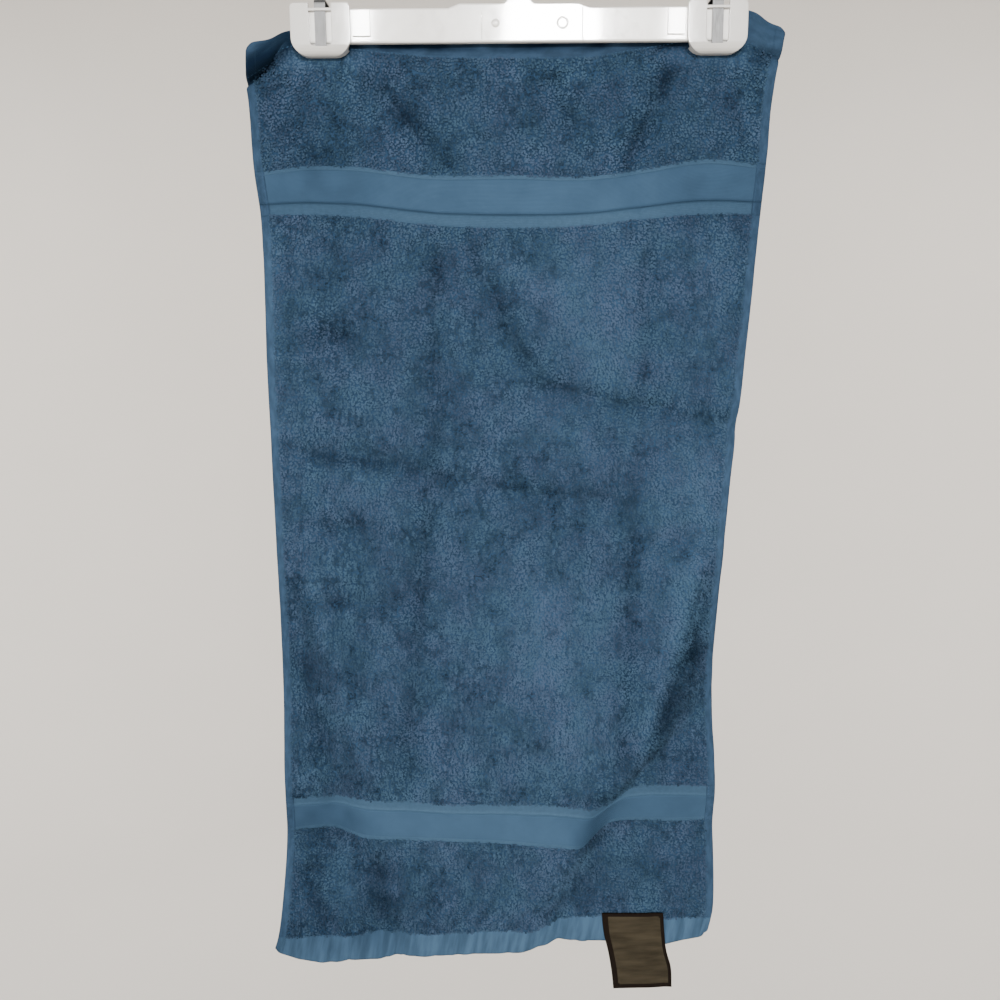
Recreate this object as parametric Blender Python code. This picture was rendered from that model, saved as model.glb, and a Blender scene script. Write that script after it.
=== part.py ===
"""Hand towel of cotton terry, gripped at its top by a white clip hanger with a wire hook.

The frame: +X to the right as the towel is seen, +Y away from the viewer, +Z up. The origin is inside the top
of the hook, where a rail touches it. Sizes are in millimetres and MM turns them into metres. "down" is
measured from the towel's top edge, along the cloth in the towel's tables.
"""

import math
from collections import namedtuple

import bmesh
import bpy
import numpy as np

MM = 0.001

# Towel: cut size and the woven zones down its length
TOWEL_WIDTH = 406.0
HEM = 24.5
END_TERRY = 80.5
BORDER = 39.0
BODY = 474.0
TOWEL_LENGTH = 2 * (HEM + END_TERRY + BORDER) + BODY
TERRY_THICK = 3.8
BORDER_THICK = 1.9
HEM_THICK = 2.6
SIDE_HEM = 7.5
SIDE_HEM_THICK = 2.4
ZONE_STEP = 1.8
PINCHED_THICK = 2.4
PINCH_REACH = 9.0
PINCH_FLAT = 1.5
CORNER_RADIUS = 7.0

# Hanger: where its parts lie
TOWEL_TOP_Z = -80.0
TOWEL_Y = 7.4
BAR_TOP = -7.7
BAR_BOTTOM = 15.9
BAR_THICK = 7.0
BAR_HALF = 158.0
BOSS_HALF = 43.0
BOSS_SLOPE = 8.0
BOSS_RISE = 3.0
NECK_HALF = 8.0
NECK_TOP_HALF = 5.0
NECK_RISE = 16.0
NECK_FOOT = 3.0
BAR_EDGE = 1.2
STOP_INNER = 107.5
STOP_OUTER = 120.2
STOP_TOP = -5.8
STOP_BOTTOM = 11.5
STOP_RISE = 2.4

WIRE = 3.4
HOOK_RADIUS = 19.0
HOOK_BEND = 10.0
HOOK_TIP_DEG = 202.0
BORE_GAP = 0.35
BORE_DEPTH = 12.0

CLIP_X = 143.3
CLIP_WIDTH = 43.0
CLIP_TOP = -11.0
CLIP_BOTTOM = 24.4
CLIP_CORNER = 12.0
CLIP_TOP_CORNER = 3.0
JAW_THICK = 3.0
BACK_JAW_OUT = 9.6
LIP_TALL = 5.0
LIP_ROUND = 7.0
SLOT_WIDTH = 16.4
SLOT_TOP = -5.6
SLOT_BOTTOM = 18.2
SLOT_CORNER = 4.0
CROSSBAR_TOP = -7.5
CROSSBAR_THICK = 0.9
SPRING_WIDTH = 8.0
SPRING_THICK = 0.9
SPRING_TOP = -13.6
SPRING_CORNER = 3.0
GAP = 0.3
CUT_PAST = 1.0
SLOT_PAST = 0.1

# The cloth lies flat in a clip out to CLIP_MARGIN beside it, then takes up its folds again over two distances
CLIP_MARGIN = 6.0
CLIP_FADE_ASIDE = 14.0
CLIP_FADE_BELOW = 26.0
CLIP_ROWS_CLOSER = 1.5

# Label
LABEL_THICK = 1.0
LABEL_GAP = 0.45
LABEL_SWING = 0.4

# Each row is a line across the cloth: how far down the cloth it lies, where its ends hang, and how far
# each place along it hangs below (or above, if negative) a level line.
Section = namedtuple(
    "Section",
    "name down left_x right_x edge_l out_l clip_l mid_l centre mid_r in_r clip_r edge_r",
)
ACROSS = (0.0, 0.09, 0.18, 0.35, 0.51, 0.65, 0.77, 0.87, 1.0)
SECTIONS = (
    Section("top edge", 0.0, -204, 200, 10, 5, -2, 0, 1, 0, -5, -10, 3),
    Section("top hem line", 24.5, -203, 194, 10, -8, -6, 0, 1.5, 0.5, -6, -11, -2),
    Section("top border starts", 105, -200, 186, -1, -5, -5, 2, 2, 3.5, -2, -8, -4),
    Section("top border ends", 144, -196.5, 183, -8, -8, -6.5, 0.5, 3, 1.5, -3, -6, -6),
    Section("upper body", 260, -197, 174.5, -7, -7, -5, 0, 2.5, 2, -1, -3, -5),
    Section("middle of body", 390, -197, 164.5, -7, -6, -4, 0, 2, 2, 0, -2, -3),
    Section("lower body", 520, -199, 162.5, -6, -6, -4, 0, 2, 3, 1, -1, -1),
    Section("low border starts", 618, -203, 165.5, 2, 0, -3, 0.5, 2, 3, 6, 5, 6),
    Section("low border ends", 657, -203, 165, -5, -8, -6, -3.5, 0, 3.5, 3, 4, 2),
    Section("low hem line", 737.5, -213, 165, 8.5, 9, 5, 3.5, 1, 4, 1, 3, 3),
    Section("bottom edge", 762, -217, 161, -3, 7, 4.5, 1, -1.5, -1, -1, 2.5, -7),
)

# Past a turn the cloth eases back to its share of "back" over this many half bends
TURN_EASE = 4.5

# A turn is a line down one side of the cloth, past which the side falls back. lift is how much higher the
# woven lines run past it, back how far the cloth falls back, soft half the width of the bend, and edge the
# share of back that is left at the towel's edge.
Turn = namedtuple("Turn", "down x lift back soft edge")
RIGHT_TURN = (
    Turn(0, 170, 0, 3, 10, 1.5),
    Turn(60, 171, 0, 6, 12, 1.2),
    Turn(105, 170, 0, 4, 14, 1.1),
    Turn(150, 166, 0, 3, 16, 1.0),
    Turn(300, 164, 0, 2, 18, 1.0),
    Turn(389, 160, 0, 4, 18, 0.9),
    Turn(441, 155, 2, 13, 18, 1.0),
    Turn(502, 143, 6, 22, 19, 1.0),
    Turn(564, 125, 11, 23, 19, 1.0),
    Turn(595, 98, 14, 15, 19, 0.9),
    Turn(625, 73, 15, 11, 18, 0.8),
    Turn(655, 63, 17, 16, 17, 0.8),
    Turn(700, 37, 14, 11, 18, 0.6),
    Turn(762, 14, 9, 4, 24, 0.4),
)
LEFT_TURN = (
    Turn(0, -170, 0, 3, 9, 1.4),
    Turn(60, -168, 0, 8, 11, 1.2),
    Turn(105, -170, 0, 6, 13, 1.1),
    Turn(150, -174, 0, 3, 16, 1.0),
    Turn(300, -180, 0, 2, 18, 1.0),
    Turn(389, -188, 0, 3, 18, 1.0),
    Turn(441, -182, 0, 6, 18, 0.9),
    Turn(519, -164, 0, 12, 19, 0.9),
    Turn(590, -148, 0, 14, 19, 0.9),
    Turn(640, -146, 0, 17, 19, 0.85),
    Turn(675, -148, 0, 16, 18, 0.75),
    Turn(700, -152, 0, 11, 17, 0.65),
    Turn(762, -164, 0, 2, 20, 0.4),
)

# A fold runs straight from its start to its end, bowed sideways in the middle. depth is how far the cloth
# goes back there (forward if negative); left and right are the widths of its two flanks, seen along it.
Fold = namedtuple("Fold", "name x1 down1 x2 down2 bow depth left right")
FOLDS = (
    Fold("long trough, upper", -61, 130, -69, 335, 0, 5, 16, 13),
    Fold("long trough, lower", -67, 310, -98, 640, -3, 6, 15, 11),
    Fold("right trough, upper", 97, 135, 98, 300, 0, 4, 11, 11),
    Fold("right trough, lower", 97, 286, 83, 575, -3, 4, 12, 12),
    Fold("right swell", 118, 300, 116, 380, 0, -4, 16, 18),
    Fold("crease across left", -190, 318, -64, 339, 9, 4.5, 11, 11),
    Fold("crease across middle", -80, 332, 100, 358, -7, 4, 12, 11),
    Fold("crease arc, falling", -38, 156, 20, 268, -4, 4.5, 12, 11),
    Fold("crease arc, level", 4, 256, 128, 285, -8, 5, 11, 11),
    Fold("crease to right edge", 98, 281, 182, 302, -2, 4.5, 11, 12),
    Fold("swell under the arc", 30, 305, 80, 330, 0, -4, 20, 18),
    Fold("crease low left", -180, 437, -62, 440, 0, 3, 11, 11),
    Fold("dent left", -162, 379, -120, 377, 0, 4.5, 11, 11),
    Fold("dent upper left", -158, 222, -128, 226, 0, 4.5, 14, 14),
    Fold("short crease right", 100, 391, 150, 389, 0, 4, 11, 11),
    Fold("fan wrinkle, outer", -56, 148, -16, 280, 1, 3.5, 11, 11),
    Fold("fan wrinkle, inner", -44, 146, 32, 218, -4, 3, 11, 11),
    Fold("centre swell", 16, 425, 6, 585, 0, -6, 44, 40),
    Fold("ridge before turn", 150, 380, 92, 600, -4, -6, 34, 18),
    Fold("ridge at low border", 84, 590, 40, 700, 6, -5, 36, 18),
    Fold("ridge low left", -178, 385, -124, 606, 0, -5, 12, 30),
    Fold("top trough left", -112, 34, -48, 104, -4, 5, 14, 12),
    Fold("top trough right", 110, 28, 76, 108, 5, 6, 13, 11),
    Fold("top dent centre", 22, 30, 44, 78, 0, 4, 13, 12),
    Fold("border rise right", 80, 98, 94, 142, 0, 3, 12, 10),
    Fold("end trough", -122, 660, -126, 758, 0, 6, 15, 13),
    Fold("end trough outer", -188, 676, -172, 752, 0, 5, 12, 12),
    Fold("hem pucker left", -108, 716, -110, 775, 0, 3, 11, 11),
    Fold("hem pucker middle", 30, 712, 34, 770, 0, 3, 11, 11),
)
FOLD_FADE = 0.22

# The two top corners lean back past the clips, each over a crease that runs from beside the clip to the
# side edge: how far down it starts and ends, and how deep it is
CORNER_LEFT = {"x": -168.0, "reach": 20.0, "lean": 12.0, "crease": 15.0, "start": 15.0, "end": 28.0}
CORNER_RIGHT = {"x": 169.0, "reach": 20.0, "lean": 11.0, "crease": 8.0, "start": 24.0, "end": 27.0}
CORNER_CREASE_WIDTH = 8.0

# The label from its sewn edge to its end: the two ends of each line across it, down as a real drop
LabelLine = namedtuple("LabelLine", "share left_x left_down right_x right_down")
LABEL_LINES = (
    LabelLine(0.0, 69.5, 725, 122.5, 723.5),
    LabelLine(0.25, 71.5, 744, 124, 743),
    LabelLine(0.5, 75.5, 762, 126, 759.5),
    LabelLine(0.75, 78.5, 780, 130.5, 777),
    LabelLine(1.0, 80.5, 798, 131.5, 795),
)
LABEL_CELLS = (6, 10)
FRONT_STEPS = 120

CELLS_ACROSS = 36
ZONE_CELLS = {"hem": 2, "terry": 7, "border": 4, "body": 38}


def smooth(t):
    """0 to 1 with a soft start and end."""
    t = np.clip(t, 0.0, 1.0)
    return t * t * (3 - 2 * t)


def curve_through(xs, ys, x):
    """A smooth curve through (xs, ys), read at x. ys may hold one row for each x."""
    xs, x = np.asarray(xs, float), np.clip(np.asarray(x, float), xs[0], xs[-1])
    ys = np.broadcast_to(np.asarray(ys, float), x.shape + xs.shape)
    slopes = np.gradient(ys, xs, axis=-1)
    i = np.clip(np.searchsorted(xs, x, side="right") - 1, 0, len(xs) - 2)

    def at(values, place):
        return np.take_along_axis(values, place[..., None], -1)[..., 0]

    step = xs[i + 1] - xs[i]
    t = (x - xs[i]) / step
    start = (1 + 2 * t) * (1 - t) ** 2 * at(ys, i) + t * (1 - t) ** 2 * step * at(slopes, i)
    end = t * t * (3 - 2 * t) * at(ys, i + 1) - t * t * (1 - t) * step * at(slopes, i + 1)
    return start + end


def column(rows, name, at):
    """One named column of a table, read smoothly at a distance down the cloth."""
    return curve_through([r.down for r in rows], [getattr(r, name) for r in rows], at)


def hang(u, down):
    """Where the woven grid hangs before any folds: x, and the real drop below the top edge."""
    left, right = column(SECTIONS, "left_x", down), column(SECTIONS, "right_x", down)
    drops = [column(SECTIONS, name, down) for name in Section._fields[4:]]
    x = left + (right - left) * u
    drop = curve_through(ACROSS, np.stack(drops, axis=-1), u)
    past = smooth((x - column(RIGHT_TURN, "x", down)) / (2 * column(RIGHT_TURN, "soft", down)) + 0.5)
    return x, down + drop - column(RIGHT_TURN, "lift", down) * past


def turn_back(rows, side, x, down):
    """How far a side falls back past its turn. side is 1 for the right side and -1 for the left."""
    past = side * (x - column(rows, "x", down))
    soft = column(rows, "soft", down)
    back = column(rows, "back", down)
    easing = 1 - (1 - column(rows, "edge", down)) * smooth((past - soft) / (TURN_EASE * soft))
    return back * smooth(past / (2 * soft) + 0.5) * easing


def fold_depth(fold, x, down):
    along = np.array([fold.x2 - fold.x1, fold.down2 - fold.down1])
    length = float(np.hypot(*along))
    along = along / length
    from_start = np.stack([x - fold.x1, down - fold.down1], axis=-1)
    t = from_start @ along / length
    aside = from_start @ np.array([along[1], -along[0]]) - fold.bow * 4 * t * (1 - t)
    flank = np.where(aside < 0, fold.left, fold.right)
    ends = smooth(t / FOLD_FADE) * smooth((1 - t) / FOLD_FADE)
    return fold.depth * ends * np.exp(-((aside / flank) ** 2))


def corner_lean(corner, side, x, down):
    """The hem past a clip leans back over a crease between the clip and the side edge."""
    past = smooth(side * (x - corner["x"]) / corner["reach"])
    line = corner["start"] + (corner["end"] - corner["start"]) * past
    above = smooth((line - down) / line)
    crease = np.exp(-(((down - line) / CORNER_CREASE_WIDTH) ** 2))
    return past * (corner["lean"] * above + corner["crease"] * crease)


def clip_hold(x, drop):
    """1 where a clip holds the cloth flat, fading to 0 around it."""
    aside = np.abs(np.abs(x) - CLIP_X) - CLIP_WIDTH / 2 - CLIP_MARGIN
    return (1 - smooth(aside / CLIP_FADE_ASIDE)) * (1 - smooth((drop - CLIP_BOTTOM) / CLIP_FADE_BELOW))


def round_corners(u, down):
    """How far each place near a corner of the cloth is drawn in, across and down the cloth, to round it."""
    across, along = (u - 0.5) * TOWEL_WIDTH, down - TOWEL_LENGTH / 2
    near_side = np.maximum(np.abs(across) - TOWEL_WIDTH / 2 + CORNER_RADIUS, 0.0)
    near_end = np.maximum(np.abs(along) - TOWEL_LENGTH / 2 + CORNER_RADIUS, 0.0)
    reach = np.maximum(np.hypot(near_side, near_end), GAP)
    shrink = np.where(near_side * near_end > 0, 1 - np.maximum(near_side, near_end) / reach, 0.0)
    return -np.sign(across) * near_side * shrink, -np.sign(along) * near_end * shrink


def cloth_point(u, down):
    """The middle of the cloth's thickness, as x, y and z in millimetres."""
    x, drop = hang(u, down)
    inward, upward = round_corners(u, down)
    x, drop = x + inward, drop + upward
    depth = turn_back(RIGHT_TURN, 1, x, down) + turn_back(LEFT_TURN, -1, x, down)
    for fold in FOLDS:
        depth = depth + fold_depth(fold, x, drop)
    depth = depth * (1 - clip_hold(x, drop))
    depth = depth + corner_lean(CORNER_LEFT, -1, x, down)
    depth = depth + corner_lean(CORNER_RIGHT, 1, x, down)
    return np.stack([x, TOWEL_Y + depth, TOWEL_TOP_Z - drop], axis=-1)


def zone_rows():
    """(distance down, thickness) of each row of the towel's grid, with a short step between zones."""
    zones = (
        (HEM, HEM_THICK, "hem"),
        (END_TERRY, TERRY_THICK, "terry"),
        (BORDER, BORDER_THICK, "border"),
        (BODY, TERRY_THICK, "body"),
        (BORDER, BORDER_THICK, "border"),
        (END_TERRY, TERRY_THICK, "terry"),
        (HEM, HEM_THICK, "hem"),
    )
    rows, start = [], 0.0
    for length, thick, kind in zones:
        first = start + (ZONE_STEP / 2 if start else 0)
        last = start + length - (ZONE_STEP / 2 if start + length < TOWEL_LENGTH else 0)
        closer = CLIP_ROWS_CLOSER if kind == "terry" and start < TOWEL_LENGTH / 2 else 1.0
        shares = np.linspace(0, 1, ZONE_CELLS[kind] + 1) ** closer
        rows += [(first + (last - first) * share, thick) for share in shares]
        start += length
    return rows


def zone_columns():
    """Places across the cloth, 0 to 1, with the side hems' own columns."""
    side = SIDE_HEM / TOWEL_WIDTH
    step = ZONE_STEP / TOWEL_WIDTH
    inner = np.linspace(side + step, 1 - side - step, CELLS_ACROSS + 1)
    return np.concatenate([[0.0, side], inner, [1 - side, 1.0]])


def towel_thickness(u, down_thick, points):
    side = np.minimum(u, 1 - u) * TOWEL_WIDTH
    thick = np.where(side <= SIDE_HEM + 0.01, np.minimum(SIDE_HEM_THICK, down_thick), down_thick)
    drop = TOWEL_TOP_Z - points[..., 2]
    lip = CLIP_BOTTOM - LIP_TALL / 2
    across = np.abs(np.abs(points[..., 0]) - CLIP_X)
    far = np.maximum(np.abs(drop - lip) - LIP_TALL / 2, across - CLIP_WIDTH / 2 - CLIP_MARGIN)
    pinched = np.minimum(thick, PINCHED_THICK)
    return pinched + (thick - pinched) * smooth((far - PINCH_FLAT) / PINCH_REACH)


def material(name, colour, roughness, metallic=0.0):
    made = bpy.data.materials.new(name)
    made.use_nodes = True
    shader = made.node_tree.nodes["Principled BSDF"]
    shader.inputs["Base Color"].default_value = (*colour, 1.0)
    shader.inputs["Roughness"].default_value = roughness
    shader.inputs["Metallic"].default_value = metallic
    return made


def add_object(name, mesh, finish):
    obj = bpy.data.objects.new(name, mesh)
    mesh.materials.append(finish)
    bpy.context.scene.collection.objects.link(obj)
    return obj


def mesh_from(name, points, faces):
    """A mesh of points in millimetres, with its faces turned outwards."""
    mesh = bpy.data.meshes.new(name)
    mesh.from_pydata([tuple(float(c) * MM for c in p) for p in points], [], faces)
    work = bmesh.new()
    work.from_mesh(mesh)
    bmesh.ops.recalc_face_normals(work, faces=work.faces)
    work.to_mesh(mesh)
    work.free()
    return mesh


def sheet_mesh(name, middle, thickness):
    """A closed sheet around a grid of middle points, thickness given at each of them."""
    across = np.gradient(middle, axis=1)
    along = np.gradient(middle, axis=0)
    out = np.cross(along, across)
    out /= np.linalg.norm(out, axis=-1, keepdims=True)
    half = out * thickness[..., None] / 2
    rows, cols = middle.shape[:2]
    points = np.concatenate([(middle + half).reshape(-1, 3), (middle - half).reshape(-1, 3)])
    other = rows * cols
    faces = []
    for r in range(rows - 1):
        for c in range(cols - 1):
            a = r * cols + c
            faces.append((a, a + 1, a + cols + 1, a + cols))
            faces.append((other + a, other + a + cols, other + a + cols + 1, other + a + 1))
    rim = [c for c in range(cols)] + [r * cols + cols - 1 for r in range(1, rows)]
    rim += [(rows - 1) * cols + c for c in range(cols - 2, -1, -1)]
    rim += [r * cols for r in range(rows - 2, 0, -1)]
    for a, b in zip(rim, rim[1:] + rim[:1]):
        faces.append((b, a, other + a, other + b))
    return mesh_from(name, points, faces)


def make_towel(finish):
    rows = zone_rows()
    u, down = np.meshgrid(zone_columns(), [d for d, _ in rows])
    middle = cloth_point(u, down)
    thick = np.array([t for _, t in rows])[:, None] * np.ones_like(u)
    mesh = sheet_mesh("towel", middle, towel_thickness(u, thick, middle))
    mesh.shade_smooth()
    return add_object("towel", mesh, finish)


def cloth_front(x, drop):
    """The y of the hem's front face at a place given by x and real drop, found by search up the cloth."""
    left, right = SECTIONS[-2].left_x, SECTIONS[-2].right_x
    u = np.clip((x - left) / (right - left), 0.0, 1.0)
    downs = np.linspace(TOWEL_LENGTH - 2 * HEM, TOWEL_LENGTH, FRONT_STEPS)
    points = cloth_point(np.full_like(downs, u), downs)
    place = int(np.argmin(np.abs(TOWEL_TOP_Z - points[:, 2] - drop)))
    return points[place, 1] - HEM_THICK / 2


def make_label(finish):
    """The label hangs in front of the hem from its sewn top edge, and straight on below the towel."""
    cols, rows = LABEL_CELLS
    across, along = np.meshgrid(np.linspace(0, 1, cols + 1), np.linspace(0, 1, rows + 1))
    shares = [line.share for line in LABEL_LINES]
    left_x, left_down, right_x, right_down = (
        curve_through(shares, [getattr(line, name) for line in LABEL_LINES], along)
        for name in LabelLine._fields[1:]
    )
    x, drop = left_x + (right_x - left_x) * across, left_down + (right_down - left_down) * across
    front = np.empty_like(across)
    for place in np.ndindex(front.shape):
        front[place] = cloth_front(x[place], drop[place])
    y = np.minimum(front, front.min(axis=0) + LABEL_SWING) - LABEL_GAP - LABEL_THICK / 2
    middle = np.stack([x, y, TOWEL_TOP_Z - drop], axis=-1)
    mesh = sheet_mesh("label", middle, np.full(across.shape, LABEL_THICK))
    mesh.shade_smooth()
    return add_object("label", mesh, finish)


def prism(name, outline, low, high, axis):
    """An outline pushed along X or Y from low to high. It lies in (y, z) for X and (x, z) for Y."""
    points = []
    for level in (low, high):
        for a, b in outline:
            points.append((level, a, b) if axis == "X" else (a, level, b))
    n = len(outline)
    faces = [tuple(range(n)), tuple(range(2 * n - 1, n - 1, -1))]
    faces += [(i, (i + 1) % n, n + (i + 1) % n, n + i) for i in range(n)]
    return mesh_from(name, points, faces)


def arc(centre, radius, start, end, steps):
    """Points on an arc, angles in degrees."""
    return [
        (centre[0] + radius * math.cos(math.radians(a)), centre[1] + radius * math.sin(math.radians(a)))
        for a in np.linspace(start, end, steps + 1)
    ]


def z_of(down):
    return TOWEL_TOP_Z - down


def cutter(name, mesh):
    obj = bpy.data.objects.new(name, mesh)
    bpy.context.scene.collection.objects.link(obj)
    obj.hide_render = True
    obj.display_type = "WIRE"
    return obj


def boolean(obj, other, operation):
    step = obj.modifiers.new(other.name, "BOOLEAN")
    step.operation = operation
    step.solver = "EXACT"
    step.object = other


def plate_outline(x):
    """A jaw's face: square top with small round corners, and well rounded lower corners."""
    half, top, low = CLIP_WIDTH / 2, z_of(CLIP_TOP), z_of(CLIP_BOTTOM)
    r, s = CLIP_CORNER, CLIP_TOP_CORNER
    return (
        arc((x - half + r, low + r), r, 180, 270, 6)
        + arc((x + half - r, low + r), r, 270, 360, 6)
        + arc((x + half - s, top - s), s, 0, 90, 3)
        + arc((x - half + s, top - s), s, 90, 180, 3)
    )


def slot_outline(x):
    half, top, low = SLOT_WIDTH / 2, z_of(SLOT_TOP), z_of(SLOT_BOTTOM)
    r = SLOT_CORNER
    return (
        arc((x - half + r, low + r), r, 180, 270, 3)
        + arc((x + half - r, low + r), r, 270, 360, 3)
        + [(x + half, top), (x - half, top)]
    )


def box_outline(low, high, top, bottom):
    return [(low, z_of(bottom)), (high, z_of(bottom)), (high, z_of(top)), (low, z_of(top))]


def jaw_section(outer, lip, side):
    """The jaw cut across: a plate whose foot curves in to the cloth. side is 1 if the foot points to +Y."""
    inner = outer + side * JAW_THICK
    low, high = z_of(CLIP_BOTTOM), z_of(CLIP_TOP)
    knee, inner_knee = LIP_ROUND, LIP_ROUND - JAW_THICK
    outer_arc = arc((0, low + knee), knee, 180, 270, 5)
    inner_arc = arc((0, low + LIP_TALL + inner_knee), inner_knee, 270, 180, 4)
    points = [(outer, high)]
    points += [(outer + side * (knee + y), z) for y, z in outer_arc]
    points += [(lip, low), (lip, low + LIP_TALL)]
    points += [(inner + side * (inner_knee + y), z) for y, z in inner_arc]
    points += [(inner, high)]
    return points


def make_jaw(name, x, outer, lip, finish):
    """outer is the y of the jaw's outside face, lip the y where its foot meets the cloth."""
    side = 1 if lip > outer else -1
    half = CLIP_WIDTH / 2 + CUT_PAST
    obj = add_object(name, prism(name, jaw_section(outer, lip, side), x - half, x + half, "X"), finish)
    low, high = min(outer, lip) - CUT_PAST, max(outer, lip) + CUT_PAST
    face = cutter(name + "_face", prism(name + "_face", plate_outline(x), low, high, "Y"))
    boolean(obj, face, "INTERSECT")
    near, far = sorted((outer - side * CUT_PAST, outer + side * (JAW_THICK + SLOT_PAST)))
    slot = cutter(name + "_slot", prism(name + "_slot", slot_outline(x), near, far, "Y"))
    boolean(obj, slot, "DIFFERENCE")
    notch_edges = box_outline(x - SLOT_WIDTH / 2, x + SLOT_WIDTH / 2, CLIP_TOP - CUT_PAST, CROSSBAR_TOP)
    notch = cutter(name + "_notch", prism(name + "_notch", notch_edges, near, far, "Y"))
    boolean(obj, notch, "DIFFERENCE")
    room = SPRING_WIDTH / 2 + GAP
    channel_edges = box_outline(x - room, x + room, CROSSBAR_TOP - CUT_PAST, SLOT_TOP + CUT_PAST)
    start, stop = sorted((outer + side * CROSSBAR_THICK, outer + side * (JAW_THICK + CUT_PAST)))
    channel = cutter(name + "_channel", prism(name + "_channel", channel_edges, start, stop, "Y"))
    boolean(obj, channel, "DIFFERENCE")
    return obj


def staple(front, back, low, top, corner):
    """The spring's middle line as (y, z): up the front leg, over the top and down the back leg."""
    return (
        [(front, z_of(low))]
        + arc((front + corner, z_of(top) - corner), corner, 180, 90, 5)
        + arc((back - corner, z_of(top) - corner), corner, 90, 0, 5)
        + [(back, z_of(low))]
    )


def make_spring(name, x, front, back, finish):
    half = SPRING_THICK / 2
    low = SLOT_BOTTOM - GAP
    outer = staple(front - half, back + half, low, SPRING_TOP, SPRING_CORNER)
    inner = staple(front + half, back - half, low, SPRING_TOP + SPRING_THICK, SPRING_CORNER - SPRING_THICK)
    outline = outer + inner[::-1]
    mesh = prism(name, outline, x - SPRING_WIDTH / 2, x + SPRING_WIDTH / 2, "X")
    return add_object(name, mesh, finish)


def bar_outline():
    top, low = z_of(BAR_TOP), z_of(BAR_BOTTOM)
    boss, neck = top + BOSS_RISE, top + BOSS_RISE + NECK_RISE
    right = [
        (BAR_HALF, low),
        (BAR_HALF, top),
        (BOSS_HALF + BOSS_SLOPE, top),
        (BOSS_HALF, boss),
        (NECK_HALF + NECK_FOOT, boss),
        (NECK_HALF, boss + NECK_FOOT),
        (NECK_TOP_HALF, neck),
    ]
    return right + [(-x, z) for x, z in reversed(right)]


def make_bar(finish):
    half = BAR_THICK / 2
    obj = add_object("bar", prism("bar", bar_outline(), -half, half, "Y"), finish)
    edge = obj.modifiers.new("soft edges", "BEVEL")
    edge.width = BAR_EDGE * MM
    edge.segments = 2
    edge.limit_method = "ANGLE"
    for side in (-1, 1):
        ends = sorted((side * STOP_INNER, side * STOP_OUTER))
        name = "bar_stop_" + ("left" if side < 0 else "right")
        outline = box_outline(ends[0], ends[1], STOP_TOP, STOP_BOTTOM)
        boolean(obj, cutter(name, prism(name, outline, -half - STOP_RISE, -half + CUT_PAST, "Y")), "UNION")
    neck_top = z_of(BAR_TOP) + BOSS_RISE + NECK_RISE
    bore = bpy.data.meshes.new("bar_bore")
    work = bmesh.new()
    radius, depth = (WIRE / 2 + BORE_GAP) * MM, (BORE_DEPTH + CUT_PAST) * MM
    bmesh.ops.create_cone(work, cap_ends=True, segments=16, radius1=radius, radius2=radius, depth=depth)
    middle = (neck_top + (CUT_PAST - BORE_DEPTH) / 2) * MM
    bmesh.ops.translate(work, verts=work.verts, vec=(0, 0, middle))
    work.to_mesh(bore)
    work.free()
    boolean(obj, cutter("bar_bore", bore), "DIFFERENCE")
    return obj


def hook_path():
    """The wire's middle line as (x, z): up the stem, round the small bend, then round the eye to the tip."""
    eye_z = -(HOOK_RADIUS - WIRE / 2)
    turn = math.acos(HOOK_BEND / (HOOK_RADIUS + HOOK_BEND))
    bend_z = eye_z - (HOOK_RADIUS + HOOK_BEND) * math.sin(turn)
    neck_top = z_of(BAR_TOP) + BOSS_RISE + NECK_RISE
    stem = [(0.0, z) for z in np.linspace(neck_top - BORE_DEPTH + GAP, bend_z, 5)]
    bend = arc((HOOK_BEND, bend_z), HOOK_BEND, 180, 180 - math.degrees(turn), 6)
    eye = arc((0, eye_z), HOOK_RADIUS, -math.degrees(turn), HOOK_TIP_DEG, 30)
    return stem + bend[1:] + eye[1:]


def make_hook(finish):
    path = hook_path()
    curve = bpy.data.curves.new("hook", "CURVE")
    curve.dimensions = "3D"
    curve.bevel_depth = WIRE / 2 * MM
    curve.bevel_resolution = 3
    curve.use_fill_caps = True
    line = curve.splines.new("POLY")
    line.points.add(len(path) - 1)
    for point, (x, z) in zip(line.points, path):
        point.co = (x * MM, 0.0, z * MM, 1.0)
    obj = bpy.data.objects.new("hook", curve)
    curve.materials.append(finish)
    bpy.context.scene.collection.objects.link(obj)
    return obj


def make_clips(plastic, steel):
    bar_front = -BAR_THICK / 2
    front_outer = bar_front - GAP - JAW_THICK
    grip = PINCHED_THICK / 2 + GAP
    front_lip, back_lip = TOWEL_Y - grip, TOWEL_Y + grip
    back_outer = TOWEL_Y + BACK_JAW_OUT
    leg = CROSSBAR_THICK + GAP + SPRING_THICK / 2
    for name, x in (("left", -CLIP_X), ("right", CLIP_X)):
        make_jaw("clip_front_" + name, x, front_outer, front_lip, plastic)
        make_jaw("clip_back_" + name, x, back_outer, back_lip, plastic)
        make_spring("spring_" + name, x, front_outer + leg, back_outer - leg, steel)


def main():
    for obj in list(bpy.data.objects):
        bpy.data.objects.remove(obj)
    terry = material("cotton terry", (0.042, 0.095, 0.155), 0.9)
    woven = material("woven label", (0.07, 0.05, 0.03), 0.8)
    plastic = material("white plastic", (0.82, 0.81, 0.78), 0.25)
    steel = material("spring steel", (0.6, 0.6, 0.6), 0.3, 1.0)
    make_towel(terry)
    make_label(woven)
    make_bar(plastic)
    make_hook(steel)
    make_clips(plastic, steel)


main()
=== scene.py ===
"""Looks of a terry hand towel that hangs from a white clip hanger.

The towel's tables are in millimetres and are the same as those of its solids: +X to the right as the towel
is seen, +Y away from the viewer, +Z up. "down" is measured from the towel's top edge along the cloth, and
"drop" is the real height below it. MM turns millimetres into metres. Every size that a user would change is
a property.
"""

import math
from collections import namedtuple

import bpy
import numpy as np
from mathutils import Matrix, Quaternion, Vector


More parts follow.
